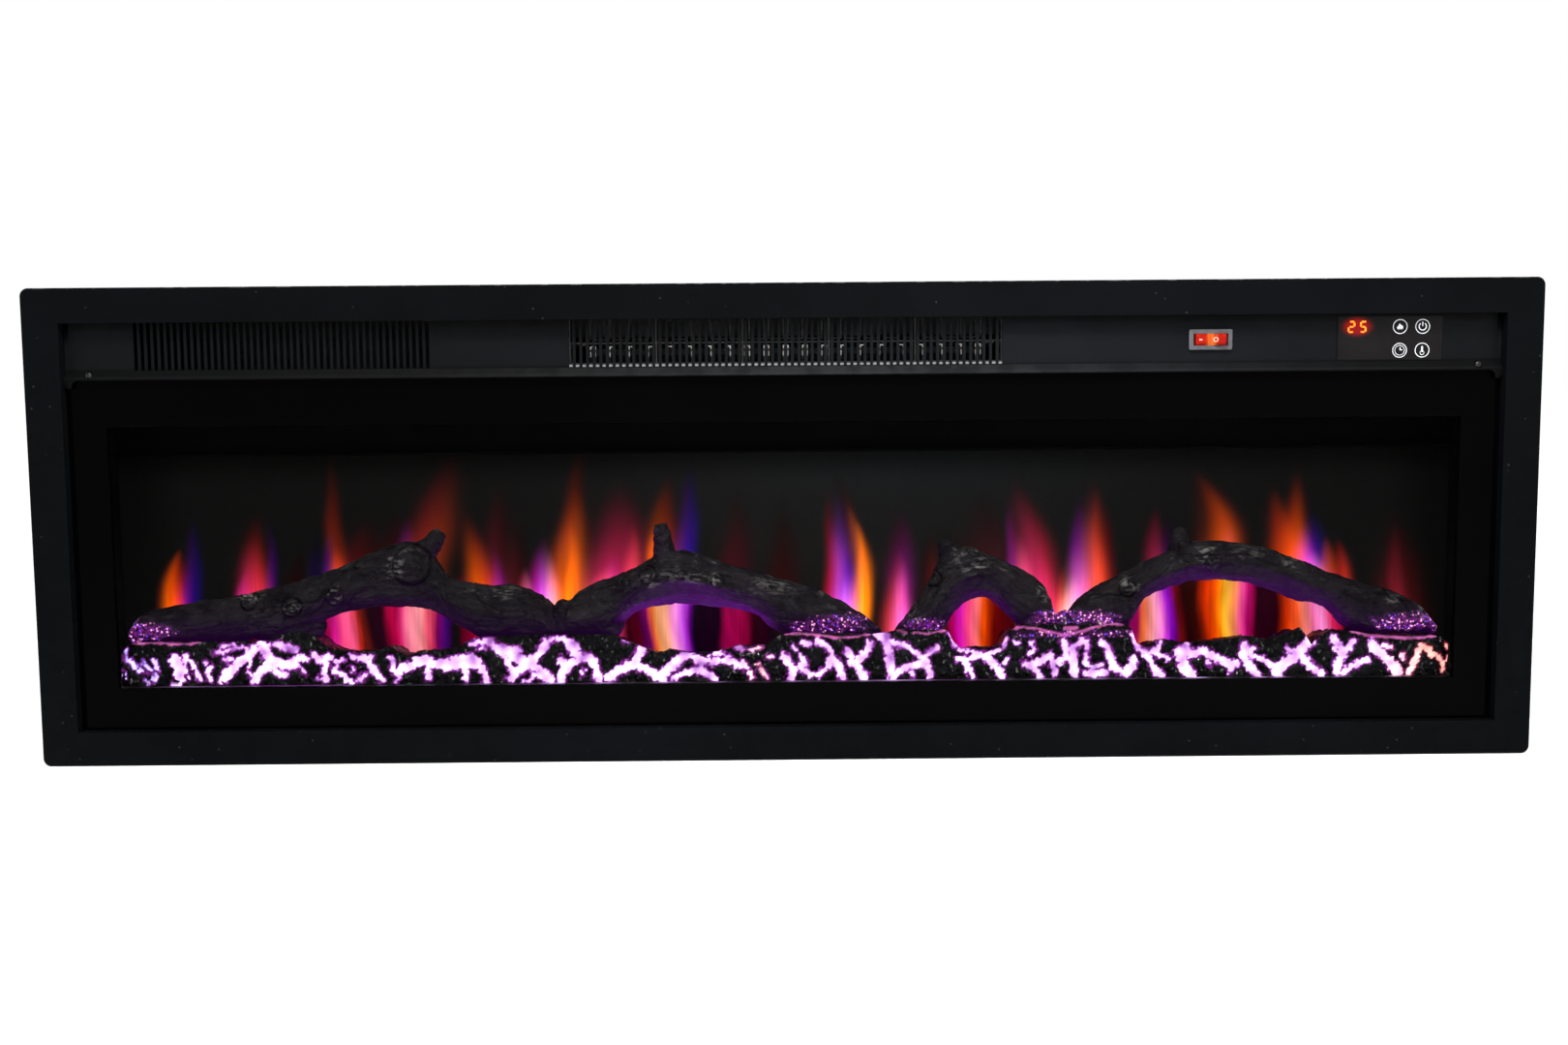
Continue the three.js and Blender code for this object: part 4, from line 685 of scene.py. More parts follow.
def make_ember_finish():
    """Moulded resin coals: glossy black stones, with light coming through the bare grooves."""
    material, tree, shader = new_finish(
        "ember_resin", Specular_IOR_Level=0.05, Emission_Strength=1.0, Coat_Roughness=0.14, Coat_IOR=1.9)
    place = place_of(tree)
    glow = painted(tree, "glow")["Color"]
    marks = shades_of(tree, painted(tree, "sparkle")["Color"])
    fine = effect(tree, grain, Place=place, Size=0.0012)
    cloud = cloud_of(tree, place, 0.012, (0.0014, 0.0013, 0.0017), (0.0060, 0.0058, 0.0070))
    dust = effect(tree, flecks, Place=place, Size=0.0020, Share=0.05)
    colour = blend_colour(tree, product(tree, dust["Mask"], 0.5), cloud["Colour"], rgb(0.07, 0.07, 0.075))
    tree.links.new(colour, shader["Base Color"])
    facets = effect(tree, grain, Place=place, Stretch=(1, 1, 0.6), Size=0.0034)
    glint = product(tree, step_up(tree, facets["Height"], 0.60, 0.70), step_up(tree, marks[2], 0.2, 0.7))
    tree.links.new(glint, shader["Coat Weight"])
    glitter = lamp_glitter(tree, place, marks[0], 0.0027)
    damp = product(tree, marks[1], fine["Shade"])
    dim = blend_colour(tree, damp, rgb(0, 0, 0), rgb(0.010, 0.0015, 0.022))
    lights = add_light(tree, add_light(tree, glow, glitter), dim)
    tree.links.new(lights, shader["Emission Color"])
    roughen(tree, shader, fine["Shade"], 0.16, 0.45)
    raise_surface(tree, shader, fine["Height"], 0.0004)
    return material


def make_bark_finish():
    """Charred bark: dark grey, ash on the ridges, darker in the cracks, and ember light from below."""
    material, tree, shader = new_finish("log_bark", Specular_IOR_Level=0.05, Emission_Strength=1.0)
    place = place_of(tree)
    worked = painted(tree, "bark")
    marks = shades_of(tree, worked["Color"])
    fine = effect(tree, grain, Place=place, Stretch=(0.45, 1, 1), Size=0.0009)
    wrinkle = effect(tree, grain, Place=place, Stretch=(0.30, 1, 1), Size=0.0028)
    cloud = cloud_of(tree, place, 0.016, (0.0050, 0.0040, 0.0056), (0.0150, 0.0132, 0.0146))
    ashy = product(tree, marks[0], step_up(tree, wrinkle["Height"], 0.44, 0.60))
    colour = blend_colour(tree, ashy, cloud["Colour"], rgb(0.230, 0.222, 0.208))
    colour = blend_colour(tree, marks[1], colour, rgb(0.0012, 0.0010, 0.0012))
    tree.links.new(colour, shader["Base Color"])
    glitter = lamp_glitter(tree, place, marks[2], 0.0024)
    below = blend_colour(tree, worked["Alpha"], rgb(0, 0, 0), rgb(0.120, 0.0055, 0.230))
    tree.links.new(add_light(tree, glitter, below), shader["Emission Color"])
    roughen(tree, shader, fine["Shade"], 0.42, 0.70)
    both = sum_of(tree, product(tree, wrinkle["Height"], 2.2), fine["Height"])
    raise_surface(tree, shader, both, 0.0006)
    material.cycles.emission_sampling = "NONE"
    return material


def make_lit_rocker():
    """The rocker's clear red plastic with a neon lamp glowing inside."""
    low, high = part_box("rocker_paddle")
    middle = (low + high) / 2
    material, tree, shader = new_finish("lit_rocker", Specular_IOR_Level=0.08, Emission_Strength=1.0)
    place = place_of(tree)
    across = parts_of(tree, place)
    distance = size_of(tree, less(tree, across["X"], middle.x + 0.0008))
    lamp = step_up(tree, distance, 0.0062, 0.0)
    fine = effect(tree, grain, Place=place, Stretch=(1, 1, 0.1), Size=0.0014)
    rippled = product(tree, lamp, step_up(tree, fine["Height"], 0.3, 0.7, 0.35, 1.0))
    deep = cloud_of(tree, place, 0.006, (0.30, 0.006, 0.002), (0.62, 0.022, 0.006))
    upper = step_up(tree, across["Z"], low.z + 0.001, low.z + 0.0045)
    dimmed = blend_colour(tree, upper, rgb(0.10, 0.001, 0.001), deep["Colour"])
    upward = size_of(tree, less(tree, across["Z"], middle.z))
    beside = step_up(tree, distance, high.x - middle.x - 0.0014, high.x - middle.x - 0.0006)
    edge = step_up(tree, upward, high.z - middle.z - 0.0011, high.z - middle.z - 0.0004)
    rim = larger(tree, beside, edge)
    glowing = blend_colour(tree, rippled, dimmed, rgb(1.0, 0.26, 0.03))
    tree.links.new(blend_colour(tree, rim, glowing, rgb(0.015, 0.0, 0.0)), shader["Emission Color"])
    base = blend_colour(tree, rippled, rgb(0.10, 0.002, 0.002), rgb(0.20, 0.01, 0.004))
    tree.links.new(base, shader["Base Color"])
    roughen(tree, shader, fine["Shade"], 0.18, 0.3)
    return material


def make_film():
    """Dark touch film, with the red light of the digits spreading in it and painted shade along its edges.
    """
    low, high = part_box("digit_display")
    middle = (low + high) / 2
    material, tree, shader = coated(
        "touch_film", dark=(0.0062, 0.0054, 0.0058), light=(0.0090, 0.0078, 0.0084), patch=0.03,
        rough=(0.30, 0.42), size=0.0015, depth=0.00003, Specular_IOR_Level=0.10, Emission_Strength=1.0)
    place = place_of(tree)
    offset = put(tree, "ShaderNodeVectorMath", {0: place, 1: tuple(middle)}, operation="SUBTRACT")
    squeezed = put(tree, "ShaderNodeVectorMath", {0: offset.outputs[0], 1: (0.62, 0, 1.0)},
                   operation="MULTIPLY")
    away = put(tree, "ShaderNodeVectorMath", {0: squeezed.outputs[0]}, operation="LENGTH").outputs["Value"]
    halo = step_up(tree, away, 0.0112, 0.0040)
    halo = product(tree, halo, halo)
    grainy = effect(tree, grain, Place=place, Size=0.0009)
    spread = product(tree, halo, step_up(tree, grainy["Height"], 0.2, 0.8, 0.85, 1.1))
    red_light = blend_colour(tree, spread, rgb(0, 0, 0), rgb(0.36, 0.001, 0.001))
    tree.links.new(red_light, shader["Emission Color"])
    # painted shade of the gap round the film: a dark band along its edges
    low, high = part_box("touch_film")
    across = parts_of(tree, place)
    painted_gap_shade = []
    for axis in ("X", "Z"):
        start, end = getattr(low, axis.lower()), getattr(high, axis.lower())
        off = size_of(tree, less(tree, across[axis], (start + end) / 2))
        painted_gap_shade.append(step_up(tree, off, (end - start) / 2 - 0.0011, (end - start) / 2 - 0.0006))
    lay_over(tree, shader, larger(tree, painted_gap_shade[0], painted_gap_shade[1]), rgb(0.0012, 0.0012, 0.0014))
    return material


def make_lit_digit():
    """A lit segment: yellow-white in its middle, red round it."""
    material, tree, shader = new_finish("lit_digit", Specular_IOR_Level=0.2, Emission_Strength=1.0)
    place = place_of(tree)
    cloud = cloud_of(tree, place, 0.002, (3.0, 0.17, 0.01), (3.2, 0.95, 0.05))
    tree.links.new(cloud["Colour"], shader["Emission Color"])
    base = cloud_of(tree, place, 0.002, (0.3, 0.02, 0.01), (0.5, 0.05, 0.02))
    tree.links.new(base["Colour"], shader["Base Color"])
    roughen(tree, shader, cloud["Mask"], 0.3, 0.4)
    return material


def make_window_print(name, dark, light, glow):
    """Pale printed symbols, faintly lit from behind."""
    material, tree, shader = new_finish(name, Specular_IOR_Level=0.2, Emission_Strength=glow)
    cloud = cloud_of(tree, place_of(tree), 0.0025, dark, light)
    tree.links.new(cloud["Colour"], shader["Base Color"])
    tree.links.new(cloud["Colour"], shader["Emission Color"])
    roughen(tree, shader, cloud["Mask"], 0.4, 0.55)
    return material


def finish_piece(piece, material):
    """Gives a piece one finish all over."""
    piece.data.materials.clear()
    piece.data.materials.append(material)


def finish_of(node):
    """The finish that a node of the model wears."""
    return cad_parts[node].data.materials[0]


def finish_model():
    """Every node of the model gets its finish."""
    chamber = coated(
        "chamber_black", dark=(0.0028, 0.0027, 0.0027), light=(0.0048, 0.0045, 0.0045), patch=0.08,
        rough=(0.7, 0.85), size=0.0012, depth=0.00006, Specular_IOR_Level=0.04)[0]
    valance = coated(
        "valance_black", dark=(0.0022, 0.0021, 0.0020), light=(0.0032, 0.0030, 0.0029), patch=0.25,
        rough=(0.7, 0.85), size=0.0012, depth=0.00004, Specular_IOR_Level=0.03)[0]
    turned_steel = coated(
        "turned_steel", dark=(0.42, 0.42, 0.43), light=(0.62, 0.62, 0.63), patch=0.01,
        rough=(0.22, 0.38), size=0.0006, depth=0.00002, stretch=(8, 1, 1), Metallic=1.0)[0]
    pressed_steel = coated(
        "pressed_steel", dark=(0.40, 0.40, 0.41), light=(0.60, 0.60, 0.61), patch=0.02,
        rough=(0.25, 0.42), size=0.0009, depth=0.00002, stretch=(0.2, 1, 1), dust=0.2, Metallic=1.0)[0]
    screw = coated(
        "blacked_screw", dark=(0.016, 0.016, 0.017), light=(0.045, 0.045, 0.047), patch=0.002,
        rough=(0.25, 0.45), size=0.0004, depth=0.00003, Metallic=0.6)[0]
    black_plastic = coated(
        "black_plastic", dark=(0.010, 0.010, 0.010), light=(0.020, 0.020, 0.021), patch=0.02,
        rough=(0.40, 0.60), size=0.0007, depth=0.00005, dust=0.15, Specular_IOR_Level=0.4)[0]
    thermostat = coated(
        "thermostat_resin", dark=(0.020, 0.016, 0.013), light=(0.042, 0.034, 0.027), patch=0.006,
        rough=(0.40, 0.60), size=0.0007, depth=0.00004, Specular_IOR_Level=0.4)[0]
    rubber = coated(
        "rubber_sleeve", dark=(0.014, 0.014, 0.014), light=(0.030, 0.029, 0.028), patch=0.006,
        rough=(0.65, 0.85), size=0.0006, depth=0.00006, Specular_IOR_Level=0.3)[0]
    bezel = coated(
        "switch_bezel", dark=(0.088, 0.088, 0.098), light=(0.128, 0.128, 0.140), patch=0.008,
        rough=(0.35, 0.5), size=0.0006, depth=0.00002, Specular_IOR_Level=0.3)[0]
    relay = coated(
        "relay_case", dark=(0.010, 0.040, 0.18), light=(0.018, 0.070, 0.27), patch=0.008,
        rough=(0.28, 0.42), size=0.0006, depth=0.00002, dust=0.15, Specular_IOR_Level=0.5)[0]
    terminal = coated(
        "terminal_case", dark=(0.020, 0.14, 0.035), light=(0.035, 0.22, 0.060), patch=0.008,
        rough=(0.35, 0.5), size=0.0006, depth=0.00002, dust=0.15, Specular_IOR_Level=0.5)[0]
    lens = coated(
        "display_lens", dark=(0.020, 0.003, 0.003), light=(0.035, 0.005, 0.005), patch=0.004,
        rough=(0.15, 0.25), size=0.0008, depth=0.00001, Specular_IOR_Level=0.4)[0]
    blade = coated(
        "blacked_blades", dark=(0.012, 0.012, 0.013), light=(0.040, 0.040, 0.042), patch=0.004,
        rough=(0.30, 0.50), size=0.0006, depth=0.00003, stretch=(0.2, 1, 1), dust=0.2,
        Specular_IOR_Level=0.5)[0]
    finishes = {
        make_powder_coat(): ("trim_frame",),
        make_fascia_coat(): ("control_fascia",),
        make_casing_coat(): ("top_cover", "base_pan", "left_side_panel", "right_side_panel", "back_panel"),
        chamber: ("left_chamber_wall", "right_chamber_wall"),
        valance: ("flame_valance",),
        make_galvanised(): ("glass_rail", "heater_bay_shelf", "ember_tray", "flame_led_bracket",
                            "flicker_motor_bracket", "flicker_end_bracket", "motor_inner_bracket",
                            "motor_outer_bracket"),
        make_duct_sheet("blower_housing"): ("blower_housing",),
        turned_steel: ("motor_shaft", "motor_rotor", "impeller_pin", "flicker_motor_shaft"),
        pressed_steel: ("flicker_motor",),
        blade: ("blower_impeller",),
        screw: ("fascia_screw_left", "fascia_screw_right"),
        black_plastic: ("blower_bearing", "cable_gland"),
        thermostat: ("thermal_cutout",),
        rubber: ("flicker_coupling",),
        bezel: ("switch_body",),
        relay: ("heater_relay_low", "heater_relay_high"),
        terminal: ("terminal_block",),
        lens: ("digit_display",),
        make_laminated_iron(): ("motor_core", "transformer"),
        make_copper_winding(): ("motor_coil",),
        make_mica(): ("heater_frame",),
        make_heating_wire(): ("heating_element_lower", "heating_element_upper"),
        make_circuit_board("power_board", (0.012, 0.06, 0.025), (0.022, 0.09, 0.04)): ("control_board",),
        make_circuit_board("touch_board", (0.010, 0.045, 0.020), (0.018, 0.070, 0.03)): ("display_board",),
        make_led_board("flame_lamps", "flame_led_strip", (1.6, 0.55, 0.12)): ("flame_led_strip",),
        make_led_board("ember_lamps", "ember_led_strip", (1.5, 0.6, 1.6)): ("ember_led_strip",),
        make_mirror_foil(): ("flicker_rotor",),
        make_glass(): ("front_glass",),
        make_screen_acrylic(): ("flame_screen",),
        make_lit_rocker(): ("rocker_paddle",),
        make_film(): ("touch_film",),
        make_ember_finish(): ("ember_bed",),
        make_bark_finish(): ("log_1", "log_2", "log_3", "log_4"),
    }
    for material, nodes in finishes.items():
        for node in nodes:
            finish_piece(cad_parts[node], material)


# ---------------------------------------------------------------- flames on the screen

# Each flame, in millimetres and display colours: foot x, foot z, tip x, tip z, half width, bow, fade,
# left colour, right colour. The brightness falls by the fade from the foot to the tip.
FLAMES = (
    (-556, -100, -548, -26, 8, -3, 0.45, (255, 104, 0), (244, 78, 4)),
    (-547, -96, -541, -28, 6, -2, 0.8, (190, 20, 60), (130, 16, 110)),
    (-541, -110, -533, 8, 7, 1, 0.7, (70, 18, 122), (34, 14, 120)),
    (-483, -84, -475, 2, 11, -3, 1.25, (196, 40, 90), (240, 46, 84)),
    (-478, -62, -474, 14, 10, -4, 0.9, (84, 28, 10), (96, 30, 12)),
    (-492, -80, -486, -40, 5, 0, 0.8, (180, 40, 120), (120, 30, 100)),
    (-467, -80, -466, 6, 4, 2, 0.8, (70, 14, 100), (50, 14, 90)),
    (-447, -80, -438, -20, 9, 0, 0.8, (36, 14, 16), (36, 14, 16)),
    (-425, -70, -424, -5, 6, 0, 0.8, (28, 16, 58), (22, 16, 50)),
    (-403, -60, -408, 62, 7, -3, 0.85, (110, 38, 20), (100, 34, 18)),
    (-408, -62, -406, -22, 6, 1, 0.7, (200, 66, 26), (200, 60, 28)),
    (-396, -66, -372, 8, 19, 4, 0.8, (84, 24, 28), (56, 20, 22)),
    (-413, -66, -411, -6, 5, 0, 0.7, (70, 20, 112), (60, 20, 70)),
    (-355, -60, -352, 10, 17, 0, 0.7, (50, 18, 20), (62, 20, 26)),
    (-330, -46, -297, 70, 18, 5, 1.15, (128, 38, 36), (126, 48, 26)),
    (-343, -40, -342, 4, 6, 0, 0.7, (70, 22, 92), (86, 24, 66)),
    (-277, -84, -291, 18, 10, 2, 1.35, (255, 104, 10), (240, 80, 20)),
    (-264, -90, -265, -20, 8, 0, 1.1, (196, 30, 70), (190, 40, 200)),
    (-257, -80, -255, 42, 14, -3, 0.8, (84, 28, 36), (56, 20, 24)),
    (-245, -90, -240, 10, 10, 0, 0.8, (66, 20, 28), (50, 18, 22)),
    (-234, -92, -237, -44, 6, 0, 0.7, (255, 96, 130), (255, 140, 190)),
    (-226, -94, -223, -22, 8, -1, 0.8, (206, 20, 160), (190, 40, 220)),
    (-219, -98, -219, -8, 8, 1, 1.2, (226, 96, 255), (250, 150, 255)),
    (-206, -104, -188, 30, 16, 3, 0.8, (255, 104, 34), (255, 118, 0)),
    (-196, -80, -192, 4, 5, 2, 0.8, (255, 110, 0), (200, 80, 0)),
    (-212, -96, -212, -26, 5, 0, 0.9, (255, 150, 150), (255, 140, 90)),
    (-194, -20, -182, 66, 8, 0, 0.8, (92, 36, 22), (74, 30, 20)),
    (-193, -86, -178, 10, 9, 3, 0.8, (92, 34, 10), (58, 24, 12)),
    (-160, -86, -149, 46, 25, 6, 1.25, (206, 46, 96), (196, 42, 84)),
    (-170, -84, -159, -40, 12, -1, 0.8, (250, 90, 110), (255, 120, 130)),
    (-141, -76, -139, -2, 7, 2, 0.8, (236, 66, 90), (240, 76, 84)),
    (-154, -80, -156, -28, 8, 0, 0.8, (170, 28, 150), (150, 26, 130)),
    (-118, -44, -117, -6, 6, 0, 0.5, (236, 92, 6), (224, 84, 10)),
    (-112, -30, -102, 40, 10, -3, 0.8, (124, 52, 16), (112, 40, 22)),
    (-92, -50, -84, 56, 8, 1, 0.9, (70, 28, 110), (46, 22, 134)),
    (-104, -40, -98, 8, 9, 0, 0.8, (88, 28, 34), (80, 26, 38)),
    (-47, -70, -42, 30, 14, 2, 0.8, (66, 24, 30), (54, 22, 30)),
    (-2, -80, -2, 22, 14, 0, 0.8, (48, 18, 20), (44, 18, 20)),
    (43, -96, 37, 34, 6, 2, 1.0, (190, 26, 44), (150, 26, 90)),
    (51, -112, 44, 30, 9, 3, 1.05, (214, 90, 255), (140, 24, 255)),
    (56, -104, 57, -48, 8, 1, 0.9, (255, 150, 255), (255, 130, 210)),
    (62, -110, 56, 12, 8, 10, 0.6, (255, 120, 70), (255, 136, 0)),
    (66, -112, 64, -6, 5, 6, 0.35, (255, 140, 0), (255, 120, 0)),
    (58, -30, 47, 40, 7, 2, 0.8, (60, 28, 40), (66, 34, 34)),
    (101, -128, 104, -28, 11, -1, 0.7, (246, 70, 84), (255, 84, 200)),
    (105, -118, 107, -38, 7, 0, 0.8, (255, 120, 190), (246, 80, 200)),
    (104, -60, 104, 10, 11, 0, 0.8, (80, 24, 60), (90, 24, 84)),
    (134, -100, 132, -12, 10, -2, 0.7, (60, 22, 24), (104, 32, 34)),
    (186, -80, 178, 26, 26, 0, 0.8, (60, 30, 34), (64, 30, 36)),
    (230, -104, 204, 42, 16, 6, 1.1, (246, 64, 124), (224, 48, 84)),
    (219, -86, 211, -12, 7, -1, 0.9, (255, 100, 156), (245, 84, 140)),
    (237, -92, 225, -28, 9, 3, 0.8, (150, 24, 100), (176, 40, 70)),
    (206, -60, 202, 20, 4, 0, 0.8, (110, 26, 110), (110, 26, 90)),
    (259, -112, 265, -18, 12, 2, 1.0, (255, 150, 140), (255, 140, 210)),
    (259, -104, 260, -54, 9, 0, 0.7, (255, 190, 180), (255, 200, 220)),
    (277, -104, 276, 46, 12, 2, 1.3, (255, 104, 130), (250, 84, 40)),
    (265, -70, 265, 20, 7, 1, 0.8, (120, 26, 150), (100, 30, 130)),
    (283, -80, 281, 30, 6, 0, 0.9, (196, 60, 30), (160, 46, 24)),
    (250, -112, 251, -46, 4, 0, 0.7, (230, 60, 20), (240, 80, 40)),
    (291, -60, 290, 10, 7, 0, 0.7, (100, 20, 30), (70, 20, 26)),
    (334, -56, 334, 10, 7, 0, 0.8, (112, 30, 56), (136, 36, 66)),
    (346, -50, 346, 0, 7, 0, 0.7, (58, 22, 62), (46, 20, 60)),
    (392, -44, 366, 44, 16, 6, 1.0, (96, 38, 22), (240, 92, 24)),
    (404, -50, 400, -6, 8, 0, 0.8, (80, 28, 80), (60, 26, 70)),
    (456, -72, 441, 26, 12, 1, 0.8, (214, 66, 20), (224, 78, 22)),
    (464, -66, 461, 44, 9, 0, 1.0, (224, 76, 18), (236, 92, 18)),
    (472, -72, 470, -8, 10, 1, 0.9, (230, 50, 200), (190, 40, 230)),
    (480, -60, 475, 4, 10, 1, 0.8, (70, 26, 150), (46, 22, 134)),
    (480, -74, 478, -34, 10, 0, 0.6, (255, 110, 190), (255, 150, 120)),
    (490, -72, 491, -22, 7, 1, 0.6, (196, 76, 14), (180, 66, 16)),
    (503, -80, 501, -24, 8, 1, 0.6, (130, 30, 24), (206, 56, 44)),
    (558, -120, 552, 8, 20, 2, 0.9, (92, 28, 34), (74, 22, 24)),
    (556, -100, 551, -4, 7, 0, 0.8, (96, 22, 36), (96, 24, 36)),
)

# The bright feet of the flames, seen under the logs: from x, to x, edge softness, left and right colours.
FLAME_FEET = (
    (-430, -415, 6, (110, 8, 44), (170, 20, 80)), (-417, -407, 3, (200, 30, 130), (230, 40, 160)),
    (-410, -392, 3, (255, 76, 130), (255, 110, 150)), (-395, -388, 3, (236, 60, 50), (206, 52, 30)),
    (-390, -378, 6, (130, 40, 26), (50, 18, 22)), (-378, -362, 6, (30, 14, 24), (44, 12, 30)),
    (-363, -350, 5, (150, 8, 56), (190, 16, 76)), (-352, -345, 3, (224, 36, 120), (250, 80, 140)),
    (-347, -328, 3, (255, 130, 160), (255, 180, 164)), (-331, -319, 4, (255, 120, 130), (226, 60, 100)),
    (-322, -311, 5, (130, 12, 70), (76, 14, 110)), (-313, -304, 5, (66, 16, 110), (40, 10, 50)),
    (-300, -280, 8, (60, 6, 30), (160, 10, 56)), (-150, -130, 8, (50, 6, 24), (84, 6, 30)),
    (-132, -122, 5, (60, 10, 96), (130, 20, 90)), (-124, -116, 3, (240, 84, 20), (255, 160, 70)),
    (-118, -104, 3, (255, 190, 104), (255, 190, 150)), (-106, -94, 4, (255, 170, 196), (240, 140, 255)),
    (-96, -88, 4, (214, 100, 255), (180, 50, 226)), (-90, -84, 4, (130, 14, 170), (50, 6, 80)),
    (-84, -58, 8, (24, 4, 26), (30, 4, 30)), (-60, -34, 7, (156, 10, 80), (130, 6, 56)),
    (-36, -14, 8, (50, 4, 26), (26, 6, 26)), (148, 157, 4, (150, 4, 66), (190, 10, 110)),
    (155, 164, 4, (214, 24, 196), (230, 40, 170)), (162, 172, 4, (244, 66, 140), (255, 100, 130)),
    (169, 177, 3, (255, 130, 140), (255, 120, 90)), (176, 182, 2, (255, 96, 6), (236, 84, 0)),
    (181, 188, 4, (190, 56, 4), (120, 24, 8)), (186, 208, 6, (92, 12, 12), (74, 10, 20)),
    (311, 322, 4, (120, 8, 90), (170, 20, 90)), (320, 327, 3, (240, 110, 40), (255, 140, 80)),
    (325, 334, 3, (255, 150, 110), (255, 180, 170)), (332, 342, 3, (255, 180, 200), (250, 140, 220)),
    (340, 348, 3, (226, 90, 226), (170, 30, 226)), (346, 354, 3, (140, 12, 214), (110, 12, 130)),
    (352, 363, 5, (116, 22, 24), (60, 14, 16)), (362, 378, 5, (22, 8, 10), (60, 18, 12)),
    (376, 386, 5, (130, 36, 8), (200, 50, 6)), (384, 394, 4, (230, 64, 4), (250, 96, 0)),
    (392, 400, 3, (255, 130, 0), (255, 176, 20)), (398, 406, 3, (255, 212, 50), (255, 200, 70)),
    (404, 413, 3, (255, 180, 70), (255, 140, 110)), (411, 419, 3, (255, 110, 160), (236, 50, 150)),
    (418, 427, 4, (196, 20, 120), (120, 10, 50)), (426, 450, 7, (40, 2, 26), (44, 4, 22)),
    (447, 456, 5, (130, 34, 2), (196, 50, 6)), (453, 468, 4, (220, 62, 10), (250, 110, 50)),
    (466, 478, 3, (255, 150, 110), (255, 140, 150)), (476, 486, 3, (255, 124, 190), (255, 150, 214)),
    (484, 494, 3, (255, 172, 230), (250, 110, 170)), (492, 506, 4, (236, 50, 110), (160, 0, 50)),
)


def light_of(colour):
    """The light that shows as a display colour."""
    return (np.array(colour) / 255) ** 2.2


def haze_light(x, z):
    """The faint light of the whole screen, fading towards its top and sides."""
    middle = np.exp(-((x - 60) / 300) ** 2)
    haze = 0.0048 + 0.0064 * middle * ramp(z, -150, 0)
    haze = haze[:, None] * np.array((1.0, 0.95, 0.92))
    cool = 0.0030 * np.exp(-((x - 110) / 200) ** 2) * ramp(z, -30, 45)
    haze += cool[:, None] * np.array((0.4, 0.9, 1.3))
    haze *= ((1 - 0.72 * ramp(z, 26, 60)) * (1 - 0.45 * ramp(np.abs(x), 540, 590)))[:, None]
    return haze


def tongue_light(x, z):
    """The light of the flames' tongues, and how far they cover the haze behind them."""
    light = np.zeros((len(x), 3))
    cover = np.zeros(len(x))
    for foot_x, foot_z, tip_x, tip_z, half, bow, fade, left, right in FLAMES:
        climb = (z - foot_z) / (tip_z - foot_z)
        near = (climb > -0.4) & (climb < 1) & (np.abs(x - (foot_x + tip_x) / 2) < 50 + half * 3)
        rise = np.clip(climb[near], 0, 1)
        spine = foot_x + (tip_x - foot_x) * rise ** 1.3 + bow * np.sin(np.pi * rise)
        spine = spine + 0.8 * np.sin(z[near] / 11 + foot_x)
        width = half * (1.0 - rise ** 1.7) ** 0.8 + 1.2
        side = (x[near] - spine) / width
        body = np.exp(-np.abs(side) ** (3.0 - 1.2 * rise))
        dim = 1.45 * (1 - ramp(rise, -0.15, 1.0)) ** (fade * 1.3) * ramp(climb[near], -0.4, 0.0)
        share = ramp(side, -0.9, 0.9)[:, None]
        colour = (1 - share) * light_of(left) + share * light_of(right)
        redder = 1 - rise[:, None] * np.array((0.0, 0.30, 0.30))
        light[near] += colour * redder * (body * dim)[:, None]
        cover[near] = np.maximum(cover[near], body * np.sqrt(np.clip(dim, 0, 1)))
    return light, cover


def feet_light(x, z):
    """The light of the flames' feet, which sway and lick, and how far they cover what is behind."""
    feet = np.zeros((len(x), 3))
    weight = np.zeros(len(x)) + 1e-6
    for start, end, soft, left, right in FLAME_FEET:
        sway = 2.0 * np.sin((z + 60) / 15 + start * 0.05) - 0.06 * (z + 90)
        share = np.clip((x - sway - start) / (end - start), 0, 1)[:, None]
        edge = soft / 2
        inside = ramp(x - sway, start - edge, start + edge) * ramp(-x + sway, -end - edge, -end + edge)
        feet += ((1 - share) * light_of(left) + share * light_of(right)) * inside[:, None]
        weight += inside
    feet = feet / np.maximum(weight, 1)[:, None]
    lick = np.sin(x / 3.1 + 2.3 * np.sin(z / 19)) * np.sin(z / 13 + x / 9)
    feet *= (1 + 0.22 * lick)[:, None] * np.array((1.06, 0.80, 0.96))
    return feet, ramp(-z, 52, 66) * np.clip(weight, 0, 1)


def flame_light(x, z):
    """The light of all the flames at points of the screen, in millimetres."""
    light, cover = tongue_light(x, z)
    light += haze_light(x, z) * (1 - 0.85 * cover)[:, None]
    feet, share = feet_light(x, z)
    return light * (1 - share[:, None]) + feet * share[:, None]


def make_flame_picture():
    """A thin film of light on the screen's front face, between the chamber walls."""
    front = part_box("flame_screen")[0].y - 0.0003
    left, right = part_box("left_chamber_wall")[1].x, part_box("right_chamber_wall")[0].x
    bottom, top = -138.5 * MM, 70 * MM
    bpy.ops.object.select_all(action="DESELECT")
    bpy.ops.mesh.primitive_grid_add(
        x_subdivisions=820, y_subdivisions=110, size=1,
        location=((left + right) / 2, front, (bottom + top) / 2), rotation=(math.radians(90), 0, 0))
    piece = new_piece("flame_picture")
    piece.scale = (right - left - 0.0004, top - bottom, 1)
    set_in_place(piece)
    points = points_of(piece) / MM
    paint(piece, "flame_colour", flame_light(points[:, 0], points[:, 2]))
    finish_piece(piece, make_flame_picture_finish())
    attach(piece, "casing")


# ---------------------------------------------------------------- ember bed

